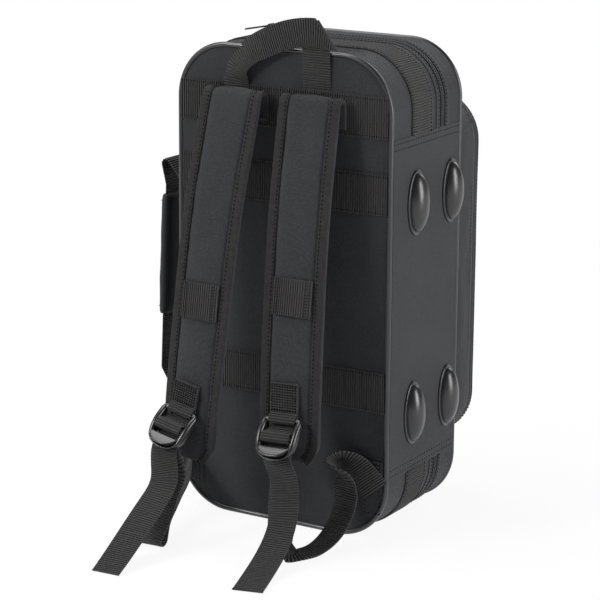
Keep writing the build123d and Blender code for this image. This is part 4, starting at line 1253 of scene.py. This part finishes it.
class SAXCASE_OT_locks(bpy.types.Operator):
    """Ladder locks with their tabs, the webbing through them, the tails and the lower webbing"""

    bl_idname = "saxcase.locks"
    bl_label = "Ladder Locks and Webbing"

    def execute(self, context):
        for side in lock_places:
            self.lock(side)
            self.tab(side)
            self.thread(side)
            self.hanging(side)
        return {"FINISHED"}

    def lock(self, side):
        """A ladder lock: top bar, deep side rails and a broad lip in one ring, and its middle bar."""
        place = lock_frame(side)
        mirrored = [(-x, y, wide, deep) for x, y, wide, deep in lock_stations[1:-1]]
        stations = [*reversed(lock_stations), *mirrored, lock_stations[-1]]
        rows = smooth_rows([(x, y, 0, wide, deep) for x, y, wide, deep in stations], lock_step)[:-1]
        ways = unit(np.roll(rows[:, :3], -1, axis=0) - np.roll(rows[:, :3], 1, axis=0))
        rings = []
        for (x, y, _, wide, deep), way in zip(rows, ways):
            side_x, side_y = -way[1], way[0]
            rise = lock_crown * (1 - ((y + lock_length / 2) / (lock_length / 2)) ** 2)
            flare = rail_flare * min(1.0, max(0.0, (-y - rail_flare_start) / rail_flare_run))
            ring = []
            for k in range(20):
                turn = 2 * pi * k / 20
                reach = squarish(cos(turn), 0.65) * wide
                depth = squarish(sin(turn), 0.75) * deep
                out = lock_bar + max(rise, 0) - deep + depth - flare * side_y * reach
                ring.append(in_frame(place, y + side_y * reach, out, x + side_x * reach))
            rings.append(ring)
        piece = lofted(f"lock_ring_{side}", rings, closed=True)
        dress(piece, moulded("buckle_plastic"), "buckle_plastic", f"lock_{side}", f"ladder_lock_{side}")
        height = -(upper_slot_end + lower_slot_start) / 2
        half = (lower_slot_start - upper_slot_end) / 2
        rings = []
        for x in lock_bar_stations:
            ring = []
            for k in range(16):
                turn = 2 * pi * k / 16
                out = lock_bar + lock_crown * 0.88 - half + sin(turn) * half
                ring.append(in_frame(place, height + cos(turn) * half, out, x))
            rings.append(ring)
        bar = lofted(f"lock_middle_bar_{side}", rings)
        dress(bar, moulded("buckle_plastic"), "buckle_plastic", f"lock_{side}")
        self.lip(side, place)

    def lip(self, side, place):
        """The half-moon plate below the lower slot, flared outwards for a thumb."""
        level = lock_bar + lock_crown - lip_sink
        rings = []
        for k in range(17):
            share = -1 + k / 8
            deep = max(lip_reach * (1 - abs(share) ** lip_rounding) ** 0.5, lip_half_thickness)
            ring = []
            for turn in range(0, 360, 20):
                up = -lip_start - deep / 2 + deep / 2 * cos(radians(turn))
                thick = squarish(sin(radians(turn)), 0.6) * lip_half_thickness
                out = level + thick + lip_flare * max(-lip_start - up, 0)
                ring.append(in_frame(place, up, out, share * lip_half))
            rings.append(ring)
        piece = lofted(f"lock_lip_{side}", rings)
        dress(piece, moulded("buckle_plastic"), "buckle_plastic", f"lock_{side}")

    def tab(self, side):
        """The tab round the lock's bar, sewn double to the strap."""
        place = sewn_frame(side)
        thickness = sizes().webbing_thickness
        bend = lock_bar + tab_slack + thickness / 2
        front = thickness * 2 - (bend + thickness / 2) - thickness / 2
        tab_length = tab_lengths[side]
        line = [(tab_length, front), (tab_fold, front)]
        for k in range(13):
            turn = radians(60 + 210 * k / 12)
            line.append((bend * cos(turn), bend * sin(turn)))
        line.append((tab_length, -bend))
        rows = [(*in_frame(place, up, out), *place[1]) for up, out in line]
        rows = even_rows(rows, rib_step())
        piece = band_piece(f"lock_tab_webbing_{side}", rows, sizes().webbing_width, thickness)
        dress(piece, webbing_material(), "webbing", "case_back", f"strap_tab_{side}")
        seams = []
        top = tab_length - tab_seam_inset
        bottom = tab_fold + tab_seam_inset / 2
        reach = sizes().webbing_width / 2 - tab_seam_inset
        lift = front + thickness / 2
        corners = [(bottom, -reach), (top, -reach), (top, reach), (bottom, reach), (bottom, -reach)]
        for k in range(tab_rows):
            height = bottom + (top - bottom) * (k + 0.5) / tab_rows
            corners += [(height, -reach if k % 2 else reach), (height, reach if k % 2 else -reach)]
        for start, end in zip(corners, corners[1:]):
            ends = [in_frame(place, up, lift, side_by) for up, side_by in (start, end)]
            if (ends[0] - ends[1]).length > 0.004:
                seams.append([(*ends[0], *place[3]), (*ends[1], *place[3])])
        stitch_piece(f"lock_tab_stitches_{side}", seams, "webbing", "case_back", **tab_stitch)

    def thread(self, side):
        """The webbing up behind the lock, over its middle bar and down again."""
        place = lock_frame(side)
        thickness = sizes().webbing_thickness
        front = lock_bar + lock_crown + lock_gap + thickness / 2
        near = lock_bar - lock_depth - lock_gap - thickness / 2
        far = near - thickness - lock_gap
        top = -(lock_bar + lock_gap + thickness * 2.2)
        entry = -(upper_slot_end - thread_entry)
        middle_top = -(upper_slot_end - thread_overlap)
        bottom = -(lower_slot_start + lock_gap + thickness / 2)
        line = ((-thread_length, far), (top, far), (top, far / 2), (entry, 0.0),
                (middle_top, front), (bottom, front), (bottom, near), (-thread_length, near))
        points = filleted([in_frame(place, up, out) for up, out in line], thread_corner)
        rows = even_rows([(*point, *place[1]) for point in points], rib_step())
        width = sizes().webbing_width * thread_width_share
        piece = band_piece(f"lock_webbing_{side}", rows, width, thickness)
        dress(piece, webbing_material(), "webbing", f"lock_{side}", f"lock_thread_{side}")

    def hanging(self, side):
        """The free tail and the webbing that returns to the case's lower corner."""
        place = lock_frame(side)
        start = in_frame(place, -thread_length, 0)
        kinds = (
            ("strap_tail", tail_shares, 0.6, Vector((0, 0, -0.060))),
            ("lower_webbing", lower_shares, 0.3, Vector((0, 0.030, -0.035))),
        )
        for row, (node, table, ribbed, reach) in enumerate(kinds):
            rows = hanging_rows(side, table[side], row)
            piece = band_piece(f"{node}_webbing_{side}", rows, sizes().webbing_width,
                               sizes().webbing_thickness, ribbed=ribbed)
            dress_blended(piece, webbing_material(), "webbing", (f"lock_{side}", "case_back"),
                          start, start + reach, f"{node}_{side}")


class SAXCASE_OT_hand_loop(bpy.types.Operator):
    """The folded webbing loop at the top of the back"""

    bl_idname = "saxcase.hand_loop"
    bl_label = "Hand Loop"

    def execute(self, context):
        thickness = sizes().webbing_thickness
        width = sizes().webbing_width
        legs = {"left": loop_low.x + width / 2, "right": loop_high.x - width / 2}
        top = loop_high.z
        crease = Vector(self.lying(legs["right"] + loop_crease[0], top + loop_crease[1]))
        heights = np.arange(loop_bottom - loop_sewn, top - 0.005, rib_step())
        leg_rows = [(*self.lying(legs["right"], z, thickness), 1, 0, 0) for z in heights]
        leg = band_piece("hand_loop_webbing", leg_rows, width, thickness)
        run_rows = []
        for name, across, up, way in loop_run:
            run_rows.append((*self.lying(legs[name] + across, loop_bottom + up), *way))
        run = band_piece("hand_loop_run", smooth_rows(run_rows, rib_step()), width * 0.93, thickness)
        for piece in (leg, run):
            with editing(piece):
                bpy.ops.mesh.bisect(plane_co=crease, plane_no=Vector(loop_crease_way).normalized(),
                                    clear_outer=True, use_fill=True)
        fold = self.fold(crease, width, thickness)
        dress(leg, webbing_material(), "webbing", "case_back", "hand_loop")
        dress(run, webbing_material(), "webbing", "case_back")
        dress(fold, webbing_material(), "webbing", "case_back")
        seams = []
        for centre in legs.values():
            for drop in loop_seam_drops:
                place = (rear_face - loop_seam_lift, loop_bottom - drop, 0, -1, 0)
                seams.append([(centre + side * (width / 2 - 0.002), *place) for side in (-1, 1)])
        stitch_piece("hand_loop_stitches", seams, "webbing", "case_back")
        return {"FINISHED"}

    def lying(self, x, z, behind=0.0):
        """A place of the loop, which lies against the panel and leans away above its lower edge."""
        lean = max(z - loop_bottom, 0) * tan(radians(loop_lean))
        return x, rear_face - loop_off_panel - lean + behind, z

    def fold(self, crease, width, thickness):
        """The rounded fold at the crease."""
        deselect()
        bpy.ops.mesh.primitive_cylinder_add(
            vertices=16, radius=thickness * 0.98, depth=width * 1.12,
            location=crease + Vector((0, thickness / 2, 0)), rotation=(0, radians(loop_fold_turn), 0))
        piece = bpy.context.active_object
        with editing(piece):
            bpy.ops.mesh.bevel(offset=thickness * 0.4, segments=3, affect="EDGES")
        bpy.ops.object.transform_apply(location=True, rotation=True, scale=True)
        piece.name = "hand_loop_fold"
        bpy.ops.object.shade_smooth_by_angle(angle=radians(60))
        piece.data.uv_layers[0].name = "UVMap"
        return piece


class SAXCASE_OT_carry_handle(bpy.types.Operator):
    """The carry handle's webbing and its padded sleeve"""

    bl_idname = "saxcase.carry_handle"
    bl_label = "Carry Handle"

    def execute(self, context):
        thickness = sizes().webbing_thickness
        y = (band_low.y + band_high.y) / 2
        face = -half_case - thickness / 2
        ends = [[(face, z) for z in heights] for heights in (handle_upper_end, handle_lower_end)]
        line = [*ends[0], *handle_run, *ends[1]]
        points = filleted([(x, y, z) for x, z in line], handle_bend)
        rows = even_rows([(*point, 0, 1, 0) for point in points], rib_step())
        piece = band_piece("carry_handle_webbing", rows, sizes().webbing_width, thickness)
        dress(piece, webbing_material(), "webbing", "case_back", "carry_handle")
        seams = []
        near, far = y - handle_seam_reach, y + handle_seam_reach
        for low, high in handle_seams:
            corners = [(near, low), (far, low), (far, high), (near, high),
                       (near, low), (far, high), (near, high), (far, low)]
            for start, end in zip(corners, corners[1:]):
                seams.append([(face - thickness / 2, side, z, -1, 0, 0) for side, z in (start, end)])
        stitch_piece("carry_handle_stitches", seams, "webbing", "case_back", **handle_stitch)
        self.grip(y)
        return {"FINISHED"}

    def grip(self, y):
        """The padded sleeve: fullest in its middle, drawn in at its sewn ends."""
        start = Vector((grip_start[0], y, grip_start[1]))
        end = Vector((grip_end[0], y, grip_end[1]))
        across = Vector((0, 1, 0))
        outwards = Vector((-1, 0, 0))
        full = [(0.08 + 0.84 * k / 24, 0.93 + 0.07 * sin(pi * k / 24)) for k in range(25)]
        rings = []
        drawn_in = [(1 - share, size) for share, size in reversed(grip_taper)]
        for share, size in [*grip_taper, *full, *drawn_in]:
            centre = start.lerp(end, share)
            ring = []
            for k in range(40):
                turn = 2 * pi * k / 40
                wide = squarish(cos(turn), 0.75) * grip_half_width * (0.6 + 0.4 * size)
                deep = squarish(sin(turn), 0.85) * grip_half_depth * size
                point = centre + across * wide + outwards * deep
                wrinkle = wrinkled(point, grip_wrinkle_size, grip_wrinkle_height)
                ring.append(point + outwards * wrinkle * (1 if deep > 0 else 0.3))
            rings.append(ring)
        grip = lofted("grip_sleeve", rings)
        dress(grip, cloth("sleeve_cloth"), "handle_cloth", "case_back", "handle_grip")
        seams = []
        for share in grip_seam_shares:
            centre = start.lerp(end, share) + outwards * grip_seam_lift
            ends = (-grip_seam_reach, grip_seam_reach)
            seams.append([(*(centre + across * side), *outwards) for side in ends])
        stitch_piece("grip_stitches", seams, "handle_cloth", "case_back")


class SAXCASE_OT_pocket(bpy.types.Operator):
    """The lid's pocket: its soft wall and the swelling door"""

    bl_idname = "saxcase.pocket"
    bl_label = "Pocket"

    def execute(self, context):
        self.wall()
        self.door()
        return {"FINISHED"}

    def wall(self):
        """A soft wall, a little fuller at half its depth."""
        rings = []
        for inside in (False, True):
            for k in range(pocket_wall_levels + 1):
                share = k / pocket_wall_levels
                share = 1 - share if inside else share
                y = pocket_low.y + (pocket_high.y - pocket_low.y) * share
                outset = pocket_wall_swell * sin(pi * share) - (pocket_wall if inside else 0)
                ring = []
                rows = outline_rows(pocket_half + outset, pocket_rise + outset, pocket_corner + outset)
                for x, z, nx, nz in rows:
                    fold = wrinkled((x, y * 2.2, z), 0.045, pocket_wall_swell) * sin(pi * share)
                    ring.append((x + nx * fold, y, z + pocket_middle + nz * fold))
                rings.append(ring)
        piece = lofted("pocket_wall", rings, closed=True)
        dress(piece, cloth("woven_cover"), "woven", "lid", "pocket_gusset")
        stitch_piece("pocket_wall_stitches", [self.seam(0.0004, pocket_high.y - 0.0055)], "woven", "lid")

    def seam(self, outset, y):
        """Rows of a seam round the pocket at a depth."""
        rows = outline_rows(pocket_half, pocket_rise, pocket_corner)
        return [(x + nx * outset, y, z + pocket_middle + nz * outset, nx, 0, nz) for x, z, nx, nz in rows]

    def door(self):
        """The door's crowned front, turned back at its rim."""
        flat = flap_high.y - pocket_edge
        crown = sizes().pocket_crown
        profile = [(0.0, flap_low.y), (0.0, (flap_low.y + flat) / 2)]
        for k in range(9):
            turn = radians(90 * k / 8)
            profile.append((pocket_edge * (1 - cos(turn)), flat + pocket_edge * sin(turn)))
        reach = pocket_half - 0.002 - pocket_edge
        for k in range(1, pocket_front_steps + 1):
            share = k / pocket_front_steps
            profile.append((pocket_edge + reach * share, flap_high.y + crown * sin(pi / 2 * share)))
        rings = []
        for thickness, order in ((pocket_wall, reversed(profile)), (0.0, profile)):
            for inset, y in order:
                outer = max(inset, thickness) if thickness else inset
                depth = y - thickness if y > flat else y
                radius = max(pocket_corner - outer, 0.002)
                ring = []
                for x, z, _, _ in outline_rows(pocket_half - outer, pocket_rise - outer, radius):
                    swell = wrinkled((x, y, z), 0.05, 0.0022) * min(1, (y - flap_low.y) / 0.02)
                    ring.append((x, depth + swell, z + pocket_middle))
                rings.append(ring)
        piece = lofted("pocket_door_shell", rings)
        dress(piece, cloth("woven_cover"), "woven", "pocket_door", "pocket_flap")
        seam = self.seam(0.0003, flap_low.y + 0.0055)
        stitch_piece("pocket_door_stitches", [seam], "woven", "pocket_door")


class SAXCASE_OT_padding(bpy.types.Operator):
    """The lid's cushion and the band over the instrument"""

    bl_idname = "saxcase.padding"
    bl_label = "Inside Padding"

    def execute(self, context):
        self.cushion()
        low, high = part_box("hold_down_strap")
        height = (low.z + high.z) / 2
        y = (low.y + high.y) / 2
        rows = [(x, y, height, 0, 0, 1) for x in np.arange(low.x, high.x, rib_step())]
        band = band_piece("hold_down_webbing", rows, high.z - low.z, high.y - low.y)
        dress(band, webbing_material(), "plush", "case_back", "hold_down_strap")
        return {"FINISHED"}

    def cushion(self):
        """A cushion swollen by a cloth simulation from a slightly smaller pad."""
        piece = merged_copy("lid_pad", "lid_cushion")
        apply_modifier(piece, "smaller_start", "DISPLACE", strength=-0.002, mid_level=0.0)
        piece.data.remesh_voxel_size = 0.006
        bpy.ops.object.voxel_remesh()
        self.swell(piece)
        apply_modifier(piece, "fuller_mesh", "SUBSURF", levels=1, render_levels=1)
        piece.data.shade_smooth()
        dress(piece, cloth("plush_lining"), "plush", "lid", "lid_pad")

    def swell(self, piece):
        """Twenty frames of pressure, then no point moved further than the cap."""
        rest = np.zeros(len(piece.data.vertices) * 3)
        piece.data.vertices.foreach_get("co", rest)
        swelling = piece.modifiers.new("swelling", "CLOTH")
        swelling.settings.use_pressure = True
        swelling.settings.uniform_pressure_force = 4.0
        swelling.settings.effector_weights.gravity = 0.0
        swelling.settings.quality = 4
        scene = bpy.context.scene
        for number in range(1, 21):
            scene.frame_set(number)
        evaluated = piece.evaluated_get(bpy.context.evaluated_depsgraph_get())
        swollen = np.zeros(len(rest))
        evaluated.data.vertices.foreach_get("co", swollen)
        piece.modifiers.remove(swelling)
        move = (swollen - rest).reshape(-1, 3)
        length = np.linalg.norm(move, axis=1)[:, None]
        move *= np.minimum(1.0, 0.003 / np.maximum(length, 1e-9))
        piece.data.vertices.foreach_set("co", (rest.reshape(-1, 3) + move).ravel())
        piece.data.update()
        scene.frame_set(1)


class SAXCASE_OT_stage(bpy.types.Operator):
    """Pale floor, soft studio lamps and the camera"""

    bl_idname = "saxcase.stage"
    bl_label = "Stage"

    def execute(self, context):
        scene = context.scene
        scene.view_settings.view_transform = "Standard"
        self.floor()
        self.surroundings(scene)
        for name, place, size, power in studio_lamps:
            lamp = bpy.data.lights.new(name, "AREA")
            lamp.shape = "RECTANGLE"
            lamp.size, lamp.size_y = size
            lamp.energy = power
            lamp_object = bpy.data.objects.new(name, lamp)
            lamp_object.location = place
            aim = Vector((0, 0, middle)) - Vector(place)
            lamp_object.rotation_euler = aim.to_track_quat("-Z", "Y").to_euler()
            scene.collection.objects.link(lamp_object)
        self.camera(scene)
        return {"FINISHED"}

    def floor(self):
        """A wide pale floor that shows as white and keeps the shadow."""
        deselect()
        bpy.ops.mesh.primitive_plane_add(size=24.0, location=(0, 0, -0.0002))
        floor = bpy.context.active_object
        floor.name = "studio_floor"
        made, tree, shader = base_material("pale_floor", colours().floor, 0.9, {})
        bright = add_node(tree, "ShaderNodeEmission", {"Color": (1, 1, 1, 1), "Strength": 1.0})
        rays = add_node(tree, "ShaderNodeLightPath", {}).outputs
        seen = maths(tree, "MAXIMUM", rays["Is Camera Ray"], rays["Is Glossy Ray"])
        seen = maths(tree, "MAXIMUM", seen, rays["Is Transmission Ray"])
        away = add_node(tree, "ShaderNodeVectorMath", {0: object_place(tree)}, operation="LENGTH")
        fade = stretched(tree, away.outputs["Value"], 0.45, 1.3, 0.90, 1.0)
        links = {0: maths(tree, "MULTIPLY", seen, fade), 1: shader.outputs[0], 2: bright.outputs[0]}
        mixed = add_node(tree, "ShaderNodeMixShader", links)
        tree.links.new(mixed.outputs[0], tree.nodes["Material Output"].inputs["Surface"])
        floor.data.materials.append(made)

    def surroundings(self, scene):
        """A pale world, white where it is seen."""
        world = bpy.data.worlds.new("studio")
        world.use_nodes = True
        tree = world.node_tree
        lit = tree.nodes["Background"]
        lit.inputs["Color"].default_value = (1, 1, 1, 1)
        lit.inputs["Strength"].default_value = 0.10
        white = add_node(tree, "ShaderNodeBackground", {"Color": (1, 1, 1, 1), "Strength": 1.0})
        seen = add_node(tree, "ShaderNodeLightPath", {}).outputs["Is Camera Ray"]
        mixed = add_node(tree, "ShaderNodeMixShader", {0: seen, 1: lit.outputs[0], 2: white.outputs[0]})
        tree.links.new(mixed.outputs[0], tree.nodes["World Output"].inputs["Surface"])
        scene.world = world

    def camera(self, scene):
        """The camera of the photograph, from behind and to the right of the case."""
        lens = bpy.data.cameras.new("photo_camera")
        lens.lens = camera_lens
        lens.sensor_width = 36.0
        lens.clip_start = 0.05
        lens.clip_end = 60.0
        camera = bpy.data.objects.new("photo_camera", lens)
        right = Vector(camera_right).normalized()
        back = Vector(camera_back).normalized()
        up = back.cross(right).normalized()
        right = up.cross(back)
        placed = Matrix((right, up, back)).transposed().to_4x4()
        placed.translation = Vector(camera_place)
        camera.matrix_world = placed
        scene.collection.objects.link(camera)
        scene.camera = camera


operators = (
    SAXCASE_OT_covers, SAXCASE_OT_piping, SAXCASE_OT_bands, SAXCASE_OT_zippers, SAXCASE_OT_hinge_side,
    SAXCASE_OT_straps, SAXCASE_OT_locks, SAXCASE_OT_hand_loop, SAXCASE_OT_carry_handle, SAXCASE_OT_pocket,
    SAXCASE_OT_padding, SAXCASE_OT_stage,
)


class SAXCASE_PT_panel(bpy.types.Panel):
    """Lists the case's sizes, colours and steps"""

    bl_idname = "SAXCASE_PT_panel"
    bl_label = "Saxophone Case"
    bl_space_type = "VIEW_3D"
    bl_region_type = "UI"
    bl_category = "Saxophone Case"

    def draw(self, context):
        layout = self.layout
        for group in (context.scene.saxcase_sizes, context.scene.saxcase_colours):
            for name in group.__annotations__:
                layout.prop(group, name)
        for operator in operators:
            layout.operator(operator.bl_idname)


classes = (CaseSizes, CaseColours, *operators, SAXCASE_PT_panel)


def register():
    """Adds the classes and the scene's settings."""
    for item in classes:
        bpy.utils.register_class(item)
    bpy.types.Scene.saxcase_sizes = bpy.props.PointerProperty(type=CaseSizes)
    bpy.types.Scene.saxcase_colours = bpy.props.PointerProperty(type=CaseColours)


def unregister():
    """Removes what register added."""
    del bpy.types.Scene.saxcase_colours
    del bpy.types.Scene.saxcase_sizes
    for item in reversed(classes):
        bpy.utils.unregister_class(item)


def main():
    """Builds every piece in order."""
    register()
    bpy.ops.saxcase.covers()
    bpy.ops.saxcase.piping()
    bpy.ops.saxcase.bands()
    bpy.ops.saxcase.zippers()
    bpy.ops.saxcase.hinge_side()
    bpy.ops.saxcase.straps()
    bpy.ops.saxcase.locks()
    bpy.ops.saxcase.hand_loop()
    bpy.ops.saxcase.carry_handle()
    bpy.ops.saxcase.pocket()
    bpy.ops.saxcase.padding()
    bpy.ops.saxcase.stage()


if __name__ == "__main__":
    main()
